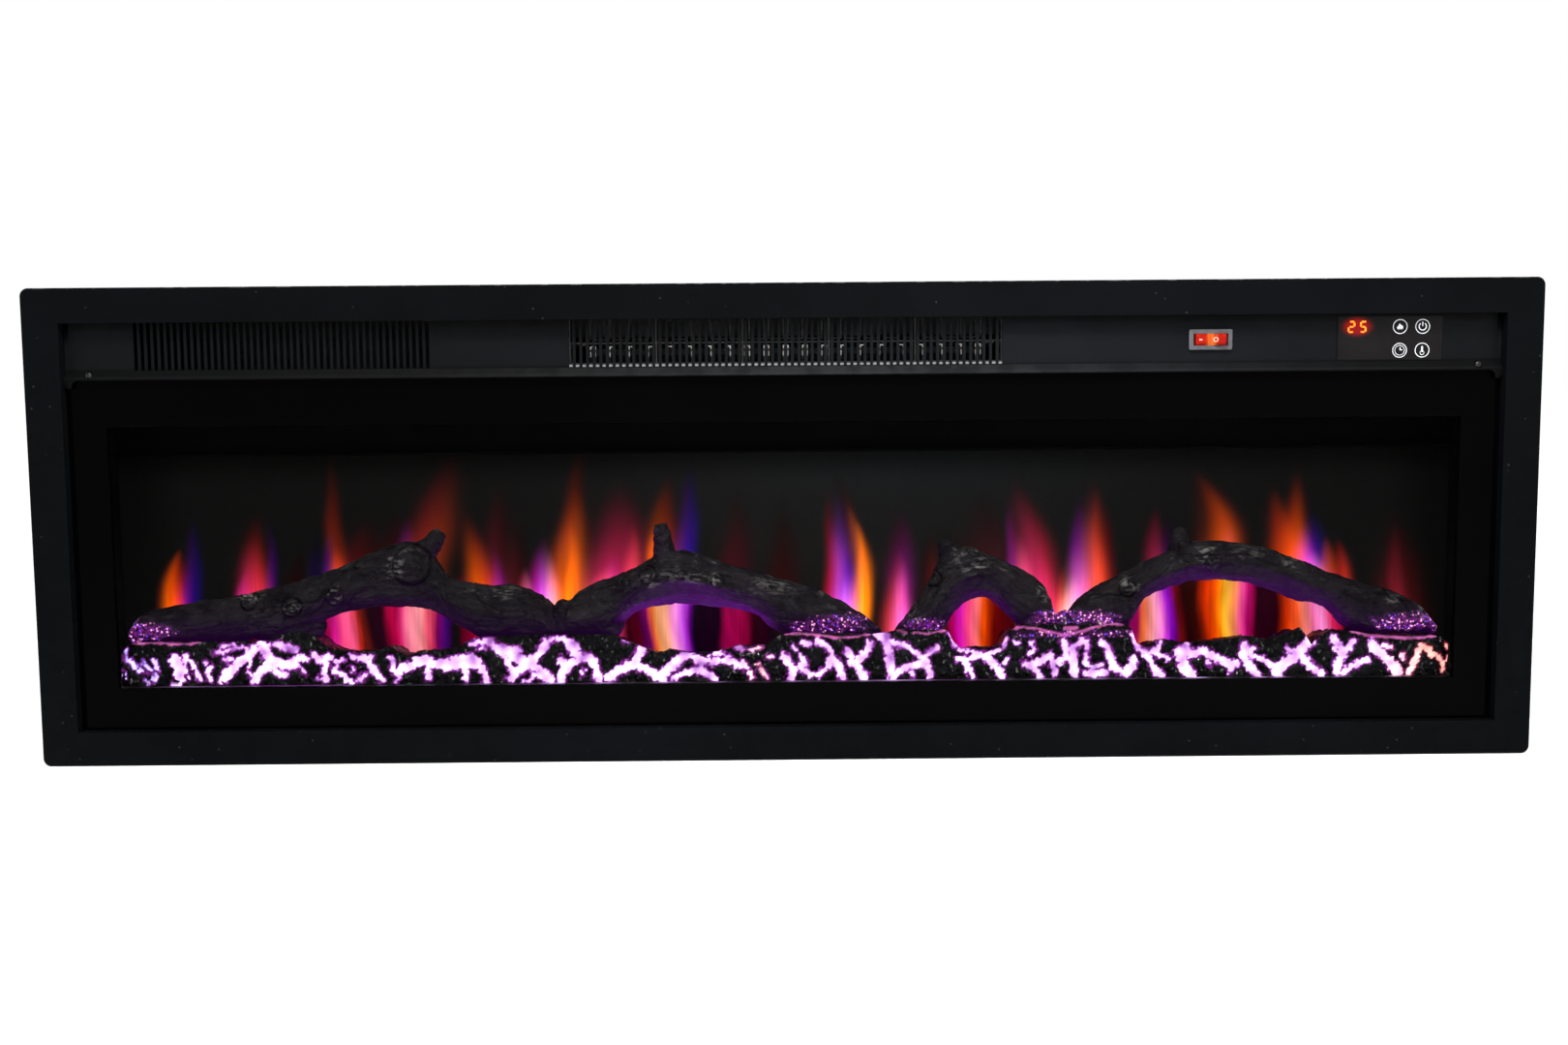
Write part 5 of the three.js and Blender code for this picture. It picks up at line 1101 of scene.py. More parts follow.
# The bare grooves that light comes through, in millimetres: width, then points (x, z) along each.
GROOVES = (
    (3.0, (-573, -105), (-575, -112), (-570, -118)),
    (4.5, (-570, -116), (-563, -124), (-555, -131), (-549, -132)),
    (3.5, (-560, -118), (-553, -126), (-548, -130)), (3.5, (-549, -117), (-546, -126)),
    (3.0, (-576, -126), (-575, -134)), (3.0, (-557, -134), (-555, -137)),
    (9.0, (-531, -116), (-528, -123), (-526, -130), (-531, -137)),
    (5.5, (-522, -113), (-524, -122), (-521, -132)), (4.0, (-517, -118), (-513, -126), (-510, -133)),
    (3.5, (-505, -118), (-505, -119)), (4.0, (-503, -131), (-503, -132)),
    (4.0, (-500, -122), (-503, -127), (-501, -134)),
    (3.5, (-497, -110), (-487, -108), (-478, -106), (-468, -106), (-459, -104), (-450, -104)),
    (2.5, (-489, -104.5), (-480, -103)), (4.0, (-489, -116), (-482, -116)),
    (8.0, (-463, -107), (-468, -113), (-476, -119), (-484, -126), (-490, -134)),
    (3.0, (-466, -118), (-468, -126), (-464, -134), (-465, -137)),
    (9.0, (-456, -104), (-452, -111), (-446, -118), (-437, -121), (-428, -121)),
    (7.0, (-450, -120), (-457, -127), (-463, -135)), (6.0, (-443, -103), (-434, -106), (-427, -108)),
    (5.5, (-448, -122), (-441, -128), (-436, -130)), (5.5, (-432, -118), (-424, -114), (-417, -116)),
    (3.5, (-425, -121), (-419, -129)), (7.0, (-410, -114), (-405, -118), (-398, -115)),
    (5.0, (-400, -118), (-402, -127), (-401, -134)), (4.0, (-408, -133), (-405, -133)),
    (5.0, (-392, -120), (-393, -127), (-387, -130), (-379, -137)), (2.5, (-391, -118), (-384, -117)),
    (5.0, (-378, -113), (-370, -117), (-362, -115)), (3.5, (-378, -124), (-377, -128)),
    (7.0, (-364, -120), (-358, -127), (-353, -135)), (5.0, (-372, -134), (-367, -130)),
    (5.0, (-345, -116), (-342, -124), (-339, -134)),
    (8.5, (-338, -128), (-330, -124), (-322, -120), (-314, -118), (-306, -122), (-298, -121)),
    (5.5, (-313, -126), (-312, -134)), (12.0, (-296, -122), (-285, -121), (-276, -118), (-271, -121)),
    (6.5, (-280, -124), (-279, -134)), (7.0, (-270, -121), (-264, -129), (-262, -136)),
    (5.0, (-273, -104), (-265, -102), (-258, -101)), (3.0, (-270, -109), (-263, -108)),
    (7.0, (-262, -102), (-256, -106), (-248, -109), (-240, -110), (-234, -110)),
    (8.5, (-250, -109), (-242, -113), (-232, -118), (-222, -124), (-213, -130), (-206, -136)),
    (8.5, (-210, -104), (-214, -110), (-219, -117), (-226, -123), (-235, -129), (-241, -134)),
    (6.0, (-247, -112), (-242, -122), (-238, -128)),
    (5.0, (-212, -105), (-204, -101), (-194, -100), (-187, -103), (-182, -109)),
    (8.0, (-189, -104), (-186, -112), (-180, -118), (-172, -117), (-167, -122), (-165, -130),
     (-164, -137)), (8.0, (-196, -119), (-190, -124), (-196, -131), (-197, -137)),
    (7.0, (-192, -122), (-183, -120)), (3.5, (-179, -132), (-176, -128)),
    (4.0, (-226, -137), (-218, -131)),
    (8.0, (-155, -136), (-149, -130), (-142, -127), (-133, -122), (-130, -116), (-126, -110)),
    (8.0, (-140, -124), (-130, -124), (-122, -128), (-114, -133), (-108, -137)),
    (8.0, (-110, -134), (-104, -128), (-96, -122), (-91, -117), (-85, -115)),
    (6.0, (-91, -116), (-82, -117), (-74, -120), (-66, -122), (-58, -121), (-50, -121), (-42, -124),
     (-35, -127)), (5.5, (-98, -136), (-90, -131), (-82, -129), (-74, -129), (-68, -133), (-62, -137)),
    (5.5, (-78, -120), (-76, -127), (-72, -132)), (4.0, (-68, -117), (-60, -114), (-50, -117)),
    (2.6, (-44, -109), (-37, -112), (-30, -111), (-22, -109)),
    (3.5, (-38, -122), (-33, -129), (-30, -136)), (3.5, (-26, -124), (-22, -130), (-17, -136)),
    (2.5, (-17, -118), (-12, -118)), (2.8, (-142, -103), (-134, -102)),
    (8.0, (-2, -118), (3, -125), (6, -131), (3, -137)), (3.0, (5, -108), (8, -112)),
    (3.0, (14, -105), (20, -107)),
    (5.0, (12, -117), (16, -122), (12, -128), (20, -133), (28, -134), (33, -128)),
    (5.5, (27, -105), (34, -108), (38, -114), (38, -121), (36, -127)),
    (7.0, (40, -120), (45, -126), (47, -133), (48, -137)),
    (7.5, (53, -114), (56, -120), (61, -127), (66, -134), (68, -137)),
    (6.5, (72, -107), (70, -113), (66, -118), (60, -123)),
    (8.0, (79, -98), (86, -102), (87, -110), (88, -118), (90, -127), (92, -136)),
    (5.5, (90, -105), (98, -108), (106, -110), (112, -116), (119, -122)),
    (6.5, (119, -124), (110, -126), (101, -129), (93, -136)),
    (5.0, (131, -111), (125, -113), (121, -118), (122, -127), (124, -136)),
    (3.0, (106, -128), (110, -136)),
    (3.0, (142, -99), (145, -108), (151, -113), (160, -115), (170, -117), (180, -116), (187, -112),
     (191, -103)), (5.5, (150, -121), (158, -122), (166, -118), (174, -117)),
    (5.0, (156, -123), (159, -130), (162, -137)),
    (7.0, (174, -119), (179, -125), (184, -131), (188, -137)), (3.5, (190, -125), (193, -122)),
    (3.0, (199, -107), (203, -108)), (4.0, (213, -107), (215, -113), (211, -117)),
    (7.0, (207, -126), (215, -127), (222, -123), (229, -119)),
    (6.0, (213, -128), (217, -133), (220, -137)), (6.0, (229, -120), (231, -128), (233, -135)),
    (6.5, (241, -107), (243, -113), (243, -121), (236, -124)),
    (7.0, (248, -113), (249, -122), (250, -131), (251, -137)),
    (5.5, (250, -112), (256, -107), (261, -106)),
    (4.5, (262, -110), (260, -118), (260, -126), (266, -129), (274, -128)),
    (6.5, (274, -107), (279, -113), (282, -120), (284, -128)),
    (7.0, (262, -134), (270, -135), (276, -134)),
    (7.5, (284, -129), (290, -133), (296, -135), (300, -130), (303, -123)),
    (5.0, (303, -101), (304, -108), (307, -114), (313, -117), (320, -117), (324, -112), (326, -107)),
    (7.0, (314, -119), (318, -127), (322, -133), (326, -137)),
    (4.0, (322, -118), (330, -121), (333, -123)), (6.5, (348, -109), (345, -114), (340, -117)),
    (9.5, (346, -117), (344, -124), (348, -131), (352, -137)),
    (7.5, (350, -120), (356, -117), (364, -116), (370, -120), (377, -124), (385, -127), (391, -127)),
    (4.0, (390, -128), (386, -135)), (3.0, (366, -125), (369, -129)),
    (7.5, (398, -111), (402, -117), (398, -122)), (3.0, (403, -115), (409, -114)),
    (7.5, (400, -125), (405, -131), (409, -137)),
    (4.5, (405, -121), (415, -123), (420, -128), (427, -131)),
    (9.5, (427, -135), (433, -128), (440, -123), (447, -117), (453, -111), (457, -107)),
    (6.0, (436, -115), (441, -117)), (8.0, (447, -120), (454, -127), (460, -133), (466, -137)),
    (7.5, (477, -106), (480, -112), (484, -119), (481, -127), (480, -136)),
    (6.5, (494, -109), (489, -115), (485, -119)),
    (6.5, (484, -136), (492, -131), (500, -127), (506, -124)),
    (9.0, (510, -111), (513, -116), (519, -120), (524, -125), (530, -132), (533, -136)),
    (5.0, (521, -113), (526, -114)), (4.0, (537, -120), (537, -125)),
    (6.5, (553, -113), (550, -121), (546, -129), (542, -136)),
    (5.0, (553, -112), (560, -117), (567, -123), (572, -129), (572, -134)),
    (3.0, (575, -112), (577, -119), (577, -126)),
)
# The thin line of light between the bed's lip and the logs.
LIP_LINES = (
    (1.4, (-566, -101), (-548, -101), (-534, -102), (-520, -102.5), (-508, -101)),
    (1.8, (-6, -97.5), (10, -98), (28, -99.5), (44, -101.5), (58, -101.5), (72, -99)),
    (1.8, (96, -95), (104, -98)), (1.6, (110, -98), (124, -99), (138, -96)),
    (2.0, (192, -96), (205, -94), (216, -95), (228, -98), (240, -101), (252, -99), (265, -95),
     (280, -92), (292, -92)), (3.2, (242, -95), (252, -95)),
    (2.0, (491, -100), (505, -103.5), (520, -105), (540, -106), (555, -106), (567, -104)),
)
# The height of the bed's front lip along x.
LIP_HEIGHTS = (
    (-580, -112), (-576, -105), (-570, -102), (-560, -101), (-500, -101), (-452, -100), (-438, -95),
    (-424, -92), (-412, -95), (-404, -102), (-396, -107), (-378, -110), (-352, -109), (-345, -105),
    (-338, -110), (-329, -114), (-318, -110), (-290, -109), (-274, -100), (-262, -98), (-200, -97),
    (-150, -98), (-142, -102), (-128, -108), (-112, -114), (-102, -111), (-84, -114), (-60, -113),
    (-40, -108), (-20, -108), (-6, -99), (10, -97), (40, -98), (72, -99), (80, -98), (88, -97),
    (100, -95), (140, -96), (145, -106), (152, -113), (164, -110), (180, -112), (188, -108), (193, -97),
    (205, -92), (240, -92), (292, -92), (300, -96), (305, -109), (312, -112), (318, -108), (330, -106),
    (345, -109), (372, -107), (400, -103), (420, -107), (438, -101), (447, -97), (452, -103),
    (458, -112), (464, -104), (474, -98), (482, -100), (492, -100), (510, -103), (560, -104),
    (572, -106), (580, -114),
)
# The height of the bed under the logs, in millimetres.
LOG_REST = -106.4
# The rows of the bed's sheet: up the front, over the lip, across the top and down behind.
FRONT_ROWS, LIP_ROWS, TOP_ROWS, BACK_ROWS = 44, 4, 12, 4
LIP_END = FRONT_ROWS + LIP_ROWS
# Where the logs stand on the bed, in millimetres along x.
LOG_FEET = ((-580, -426), (-274, -148), (-8, 142), (200, 304), (492, 578))


def cell_distances(x, s, width, height, seed):
    """Distances to the nearest and second nearest of scattered middles, in cells."""
    chance = np.random.default_rng(seed)
    columns, rows = 400, 80
    jitter = chance.uniform(0.08, 0.92, (columns, rows, 2))
    u, v = x / width + 150, s / height + 30
    base_u, base_v = np.floor(u).astype(int), np.floor(v).astype(int)
    nearest = np.full(len(x), 9.0)
    second = np.full(len(x), 9.0)
    for step_u in (-1, 0, 1):
        for step_v in (-1, 0, 1):
            column, row = base_u + step_u, base_v + step_v
            point = jitter[column % columns, row % rows]
            gap = np.hypot(column + point[:, 0] - u, row + point[:, 1] - v)
            second = np.where(gap < nearest, nearest, np.minimum(second, gap))
            nearest = np.minimum(nearest, gap)
    return nearest, second


def soft_noise(x, s, size, seed):
    """Slow noise between about -1 and 1."""
    return np.array([noise.noise((a / size, b / size, seed)) for a, b in zip(x, s)])


def depth_inside(x, z, lines):
    """How far points lie inside the nearest line's width, in millimetres; less than 0 is outside."""
    depth = np.full(len(x), -30.0)
    for width, *points in lines:
        for (x0, z0), (x1, z1) in zip(points, points[1:]):
            near = (x > min(x0, x1) - 32) & (x < max(x0, x1) + 32)
            run, rise = x1 - x0, z1 - z0
            along = ((x[near] - x0) * run + (z[near] - z0) * rise) / (run * run + rise * rise)
            along = np.clip(along, 0, 1)
            gap = np.hypot(x[near] - x0 - along * run, z[near] - z0 - along * rise)
            depth[near] = np.maximum(depth[near], width / 2 - gap)
    return depth


def in_spans(x, spans, soft):
    """1 inside any of the spans, with soft ends."""
    inside = np.zeros(len(x))
    for start, end in spans:
        within = ramp(x, start - soft, start + soft) * ramp(-x, -end - soft, -end + soft)
        inside = np.maximum(inside, within)
    return inside


def ember_tint(x):
    """The lamp colour along the bed: violet at the left end, salmon at the right."""
    left = ramp(-x, 528, 556)[:, None]
    right = np.maximum(ramp(x, 500, 560), 0.8 * np.exp(-((x + 24) / 12) ** 2))[:, None]
    tint = np.tile(np.array((0.70, 0.10, 0.95)), (len(x), 1))
    tint = tint * (1 - left) + np.array((0.34, 0.05, 0.95)) * left
    return tint * (1 - right) + np.array((1.0, 0.20, 0.26)) * right


def ember_light(x, z, line, edge, front, coarse, rough):
    """The light at each point: white-hot in the grooves, violet beside them and pink along the lip."""
    glow = ramp(edge, -0.05, 0.35) * front
    core = ramp(edge, 0.35, 1.25) * front
    fringe = ramp(edge, -1.7, 0.3) * front
    lip_depth = depth_inside(x, z + 0.8 * rough, LIP_LINES)
    lip_glow = ramp(lip_depth + 0.7 * rough, -0.6, 0.5) * ramp(line, FRONT_ROWS - 14, FRONT_ROWS - 12)
    lip_glow *= (1 - ramp(line, LIP_END - 1, LIP_END + 1)) * (0.55 + 0.45 * coarse)
    tint = ember_tint(x)
    violet = np.array((0.10, 0.012, 0.26)) * (1 - ramp(x, 500, 560))[:, None]
    colour = (violet + np.array((0.16, 0.01, 0.03))) * (fringe * (1 - glow))[:, None]
    colour += tint * (glow * (0.62 + 0.2 * coarse))[:, None]
    white = core * (0.70 + 1.0 * coarse + 0.35 * ramp(-z, 110, 128)) * (1 - 0.6 * ramp(x, 524, 566))
    white = np.clip(white, 0.10 * core, 1.25)
    colour += (0.30 + 0.70 * tint) * np.array((1.9, 2.75, 1.9)) * white[:, None]
    colour += np.array((1.10, 0.22, 0.75)) * np.clip(lip_glow, 0, 1)[:, None]
    return np.clip(colour, 0, None)


def close_underneath(piece):
    """Closes a sheet with one face across its open border."""
    select_only(piece)
    bpy.ops.object.mode_set(mode="EDIT")
    bpy.ops.mesh.select_all(action="DESELECT")
    bpy.ops.mesh.select_mode(type="EDGE")
    bpy.ops.mesh.select_non_manifold(extend=False, use_wire=False, use_multi_face=False,
                                     use_non_contiguous=False, use_verts=False)
    bpy.ops.mesh.edge_face_add()
    bpy.ops.mesh.select_all(action="SELECT")
    bpy.ops.mesh.normals_make_consistent(inside=False)
    bpy.ops.object.mode_set(mode="OBJECT")


def make_ember_heap():
    """The coal bed: one moulded sheet of stones and bare grooves, closed underneath."""
    low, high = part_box("ember_bed")
    foot = low.z / MM + 0.2
    rows = LIP_END + TOP_ROWS + BACK_ROWS
    bpy.ops.object.select_all(action="DESELECT")
    bpy.ops.mesh.primitive_grid_add(x_subdivisions=1240, y_subdivisions=rows, size=1)
    piece = new_piece("ember_heap")
    grid = points_of(piece)
    x = (grid[:, 0] + 0.5) * (high.x - low.x - 0.002) / MM + low.x / MM + 1
    line = np.round((grid[:, 1] + 0.5) * rows)

    # the plain sheet: up the front, over the lip, across under the logs and down behind
    climb = np.clip(line / FRONT_ROWS, 0, 1)
    over = np.clip((line - FRONT_ROWS) / LIP_ROWS, 0, 1)
    across = np.clip((line - LIP_END) / TOP_ROWS, 0, 1)
    down = np.clip((line - LIP_END - TOP_ROWS) / BACK_ROWS, 0, 1)
    front = ramp(FRONT_ROWS + 3 - line, 0, 3)
    past = ramp(line, LIP_END, LIP_END + 1)
    lip = np.interp(x, *np.array(LIP_HEIGHTS).T)
    feet = in_spans(x, LOG_FEET, 2.5)
    y = -127.8 + 2.2 * climb ** 1.6 + 3.0 * over + 46.0 * across + 4.0 * down
    z = foot + (lip - foot) * climb - 0.6 * over
    rolling = lip - 0.6 - 9.0 * across
    resting = np.minimum(lip - 0.6, LOG_REST)
    flat = feet * resting + (1 - feet) * rolling

    # the mound of coals between the third and the fourth log
    mound = ramp(x, 190, 216) * ramp(-x, -312, -282)
    peak = np.interp(x, (190, 211, 233, 246, 276, 290, 306), (-104, -93, -87, -81, -80, -85, -100))
    hump = peak - (peak - LOG_REST) * ramp(across, 0.35, 0.8)
    flat = flat * (1 - mound) + (lip + (hump - lip) * ramp(across, 0.0, 0.22)) * mound
    z = z * (1 - past) + flat * past
    z = z * (1 - down) + foot * down

    # the stones stand out of the sheet, and the grooves stay bare
    coarse = soft_noise(x, z, 8.0, 1.5)
    rough = soft_noise(x, z, 3.4, 7.5)
    fine = soft_noise(x, z + y, 1.7, 4.4)
    depth = depth_inside(x + 1.6 * coarse + 0.8 * rough, z + 1.2 * soft_noise(x, z, 6.0, 2.2), GROOVES)
    edge = depth + 1.9 * rough + 1.6 * fine + 0.20
    nearest, second = cell_distances(x + 3 * coarse, y + z + 3 * rough, 13.0, 12.0, 11)
    stone = ramp(second - nearest, 0.03, 0.5)
    bulge = ramp(-depth, -0.5, 5.0)
    free = (1 - 0.75 * feet * (1 - mound)) * (0.45 + 0.55 * (1 - front))
    height = 2.4 * bulge * front + (2.2 * stone - 1.0) * free
    height += (0.9 * rough + 0.5 * fine) * (0.35 + 0.65 * bulge)
    height *= 1 - ramp(down, 0.0, 0.6)
    y_out = y - front * (1 - 0.6 * over) * height
    z_out = z + (1 - 0.85 * front) * height
    under_log = feet * (1 - mound) * ramp(across, 0.02, 0.1) > 0.5
    z_out = np.where(under_log, np.minimum(z_out, LOG_REST + 0.3), z_out)
    z_out = np.clip(z_out, foot, -74)
    y_out = np.clip(y_out, low.y / MM + 0.1, high.y / MM)
    move_points(piece, np.column_stack([x, y_out, z_out]) * MM)

    # the light in the grooves, and where lamps sparkle through the thin resin
    paint(piece, "glow", ember_light(x, z, line, edge, front, coarse, rough))
    shine = mound * ramp(across, 0.02, 0.10) * ramp(-across, -0.62, -0.4)
    shine += 0.5 * mound * ramp(-z, 96, 99) * ramp(z, -104, -101) * (1 - past)
    pools = np.clip(soft_noise(x, y, 30.0, 6.1) + 0.4, 0, 1)
    damp = (1 - front) * (1 - mound) * (1 - feet) * (0.4 + 0.6 * pools)
    paint(piece, "sparkle", np.column_stack([shine, damp, bulge]))

    close_underneath(piece)
    bpy.ops.object.shade_smooth_by_angle(angle=math.radians(50))
    finish_piece(piece, finish_of("ember_bed"))
    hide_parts("ember_bed")
    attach(piece, "casing")


# ---------------------------------------------------------------- logs

# How far back the middle of the logs is, in millimetres.
LOG_MIDDLE = -104
# Knots on each log, in millimetres: x, z, radius.
KNOTS = {
    "log_1": ((-326, -36, 15), (-393, -63, 6.5), (-431, -72, 7.5), (-469, -66, 7)),
    "log_2": ((-121, -46, 6.5), (-60, -52, 5)),
    "log_3": ((128, -52, 6),),
    "log_4": ((372, -40, 6), (298, -62, 6)),
}
# Where the paint is scratched or powdered with ash, in millimetres: x, z, reach along, reach up, strength.
ASHED = {
    "log_1": ((-573, -84, 8, 11, 1.9), (-466, -62, 16, 7, 0.8), (-430, -72, 14, 7, 0.7),
              (-340, -36, 9, 17, 0.7), (-392, -60, 9, 9, 0.6), (-250, -62, 24, 6, 0.4)),
    "log_2": ((-118, -52, 12, 8, 0.6), (-88, -48, 30, 9, 0.35), (-62, -50, 6, 8, 0.8),
              (-20, -58, 40, 8, 0.35), (-190, -66, 12, 8, 0.3)),
    "log_3": ((163, -38, 18, 11, 0.8), (150, -30, 8, 8, 0.5), (226, -66, 9, 10, 0.7),
              (112, -84, 8, 8, 0.5)),
    "log_4": ((300, -58, 12, 7, 0.55), (366, -34, 14, 12, 0.6), (440, -42, 10, 8, 0.45),
              (404, -32, 24, 8, 0.25), (530, -74, 9, 7, 0.5), (564, -84, 12, 12, 1.5)),
}
# Where light comes through a log's foot, in millimetres: x, z, reach along, reach up.
GLITTER = {
    "log_1": ((-569, -93, 9, 12), (-556, -92, 24, 8)),
    "log_2": ((44, -90, 30, 9), (16, -93, 16, 6)),
    "log_3": ((121, -93, 20, 8), (226, -88, 16, 9)),
    "log_4": ((268, -88, 26, 8), (542, -93, 34, 9), (570, -92, 9, 12)),
}
# The arches that the embers light from below, in millimetres and strength: from x, to x, strength.
ARCHES = ((-420, -280, 0.10), (-146, -12, 1.05), (142, 200, 0.38), (306, 492, 0.45))
# Swellings of the moulded logs, in millimetres: x, z, reach along, reach up, reach through.
SWELLINGS = {
    "log_1": ((-430, -92, 25, 13, 13), (-452, -96, 20, 9, 14), (-214, -86, 12, 18, 12)),
    "log_2": ((-197, -86, 11, 17, 13), (-160, -93, 17, 12, 13)),
    "log_3": ((157, -37, 13, 12, 10),),
    "log_4": (),
}


def rough_log(node):
    """The model's log with its swellings, remeshed evenly to be carved."""
    name = node + "_bark"
    piece = bpy.data.objects.new(name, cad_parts[node].data.copy())
    scene.collection.objects.link(piece)
    piece.data.materials.clear()
    select_only(piece)
    bpy.ops.object.mode_set(mode="EDIT")
    bpy.ops.mesh.select_all(action="SELECT")
    bpy.ops.mesh.remove_doubles(threshold=0.00002)
    bpy.ops.object.mode_set(mode="OBJECT")
    parts = [piece]
    for lump_x, lump_z, along, up, through in SWELLINGS[node]:
        bpy.ops.object.select_all(action="DESELECT")
        bpy.ops.mesh.primitive_uv_sphere_add(
            segments=28, ring_count=16, radius=1, location=(lump_x * MM, LOG_MIDDLE * MM, lump_z * MM))
        lump = new_piece("swelling")
        lump.scale = (along * MM, through * MM, up * MM)
        parts.append(set_in_place(lump))
    piece = join_pieces(parts, name)
    apply_modifier(piece, "REMESH", mode="VOXEL", voxel_size=0.0012)
    apply_modifier(piece, "SMOOTH", factor=0.5, iterations=9)
    return piece


def spine_of(x, z):
    """The height of a log's middle at each point, from slices along it."""
    slice_length = 6
    slices = np.floor((x - x.min()) / slice_length).astype(int)
    spine = np.array([z[slices == i].mean() for i in range(slices.max() + 1)])
    return np.interp(x, x.min() + slice_length * (np.arange(len(spine)) + 0.5), spine)


def bark_relief(x, y, z, seed):
    """Long furrows, lumps, plates and splits: their height, ridges and cracks, and an even grey noise."""
    height = np.zeros(len(x))
    ridge = np.zeros(len(x))
    crack = np.zeros(len(x))
    grey = np.zeros(len(x))
    for i, (a, b, c) in enumerate(zip(x, y, z)):
        sway = noise.noise((a / 28, b / 20, c / 20 + seed))
        furrow = 1 - 2.4 * abs(noise.noise((a / 42 + seed, b / 7.5 + sway, c / 7.5 + sway)))
        lump = noise.noise((a / 17 + seed, b / 12, c / 12 + 4))
        plate = noise.noise((a / 7.5, b / 5 + seed, c / 5 + 1))
        fine = noise.noise((a / 3.2, b / 2.2 + seed, c / 2.2))
        split = abs(noise.noise((a / 40 + seed, b / 15, c / 10 + 9 + 0.6 * sway)))
        across = abs(noise.noise((a / 14 + seed + 5, b / 20, c / 30)))
        height[i] = 0.75 * furrow + 1.5 * lump + 0.75 * plate + 0.42 * fine
        ridge[i] = 0.5 * furrow + 0.3 * lump + 0.9 * plate + 0.7 * fine
        crack[i] = max(0.0, 1 - split / 0.036, (0.9 - across / 0.022) * (sway > 0.05))
        grey[i] = noise.noise((a / 5.5, b / 5.5, c / 4 + seed))
    return height, ridge, crack, grey


def add_knots(node, x, z, facing, height, ridge, crack, grey):
    """Works each knot in: a raised rim with a moat round it and rings in its dish."""
    for knot_x, knot_z, radius in KNOTS[node]:
        away = np.hypot(x - knot_x + 0.8 * grey, z - knot_z) / radius
        rim = np.exp(-((away - 0.88) / 0.15) ** 2) * facing
        moat = np.exp(-((away - 1.14) / 0.09) ** 2) * facing
        dish = ramp(1 - away, 0.1, 0.5) * facing
        rings = 0.35 * np.sin(away * 17 + grey) * dish
        height = height + (1.8 * rim - 1.5 * moat - 0.5 * dish + rings)
        ridge = ridge + (0.55 * rim + 0.15 * dish + rings)
        crack = np.maximum(crack, moat * 0.9)
    return height, ridge, crack


def nearness(x, z, spot_x, spot_z, along, up):
    """How far points lie from a spot, in its own reaches."""
    return np.hypot((x - spot_x) / along, (z - spot_z) / up)


def bark_marks(node, x, z, outward, ridge, crack, grey):
    """What the bark's finish reads at each point: ash, crack, glitter and the light from below."""
    upward = ramp(outward[:, 2], -0.1, 0.8)
    ash = ramp(ridge, 0.3, 1.5) * (0.03 + 0.20 * upward)
    for ash_x, ash_z, along, up, strength in ASHED[node]:
        away = nearness(x, z, ash_x, ash_z, along, up) + 0.35 * grey
        ash = np.maximum(ash, strength * ramp(-away, -1.1, -0.4) * ramp(ridge + grey, -0.3, 0.7))
    glitter = np.zeros(len(x))
    for spot_x, spot_z, along, up in GLITTER[node]:
        away = nearness(x, z, spot_x, spot_z, along, up) + 0.30 * grey
        glitter = np.maximum(glitter, ramp(-away, -1.1, -0.35))
    facing_down = ramp(-outward[:, 2], -0.5, 0.9)
    arched = sum(strength * in_spans(x, ((start, end),), 8.0) for start, end, strength in ARCHES)
    lit = facing_down * (0.03 + 0.62 * arched * facing_down) + 0.06 * ramp(-z, 70, 100)
    return np.column_stack([ash, crack, glitter, lit])


def make_bark_log(node):
    """A moulded log, with furrows, cracks and knots worked into it."""
    piece = rough_log(node)
    points, outward = points_of(piece), normals_of(piece)
    x, y, z = (points / MM).T
    seed = 13.7 * int(node[-1])
    height, ridge, crack, grey = bark_relief(x, y, z - spine_of(x, z), seed)
    facing = ramp(-outward[:, 1], 0.0, 0.5)
    height, ridge, crack = add_knots(node, x, z, facing, height, ridge, crack, grey)
    height -= 1.6 * crack
    off_bed = ramp(z, -106.0, -101.0)
    move_points(piece, points + outward * (height * (0.25 + 0.75 * off_bed))[:, None] * MM)
    paint(piece, "bark", bark_marks(node, x, z, outward, ridge, crack, grey))
    select_only(piece)
    bpy.ops.object.shade_smooth()
    finish_piece(piece, finish_of(node))
    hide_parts(node)
    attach(piece, "casing")


# ---------------------------------------------------------------- display and symbols

# The bars that are lit in each figure.
DIGIT_SEGMENTS = {
    2: ("top", "upper right", "middle", "lower left", "bottom"),
    5: ("top", "upper left", "middle", "lower right", "bottom"),
}
# The heights of the display's two rows, in millimetres.
UPPER_ROW = 163.4
LOWER_ROW = 143.4


def make_bar(name, length, width, thick):
    """One segment: a bar with pointed ends, lying along x at the origin."""
    bpy.ops.object.select_all(action="DESELECT")
    bpy.ops.mesh.primitive_cylinder_add(
        vertices=6, radius=0.5, depth=1, end_fill_type="NGON", rotation=(math.radians(90), 0, 0))
    piece = set_in_place(new_piece(name))
    points = points_of(piece)
    points[:, 0] = np.sign(np.round(points[:, 0], 4)) * np.where(
        np.abs(points[:, 2]) < 0.1, length / 2, (length - width) / 2)
    points[:, 2] = np.sign(np.round(points[:, 2], 3)) * width / 2 * (np.abs(points[:, 2]) > 0.1)
    points[:, 1] *= thick
    move_points(piece, points)
    return piece


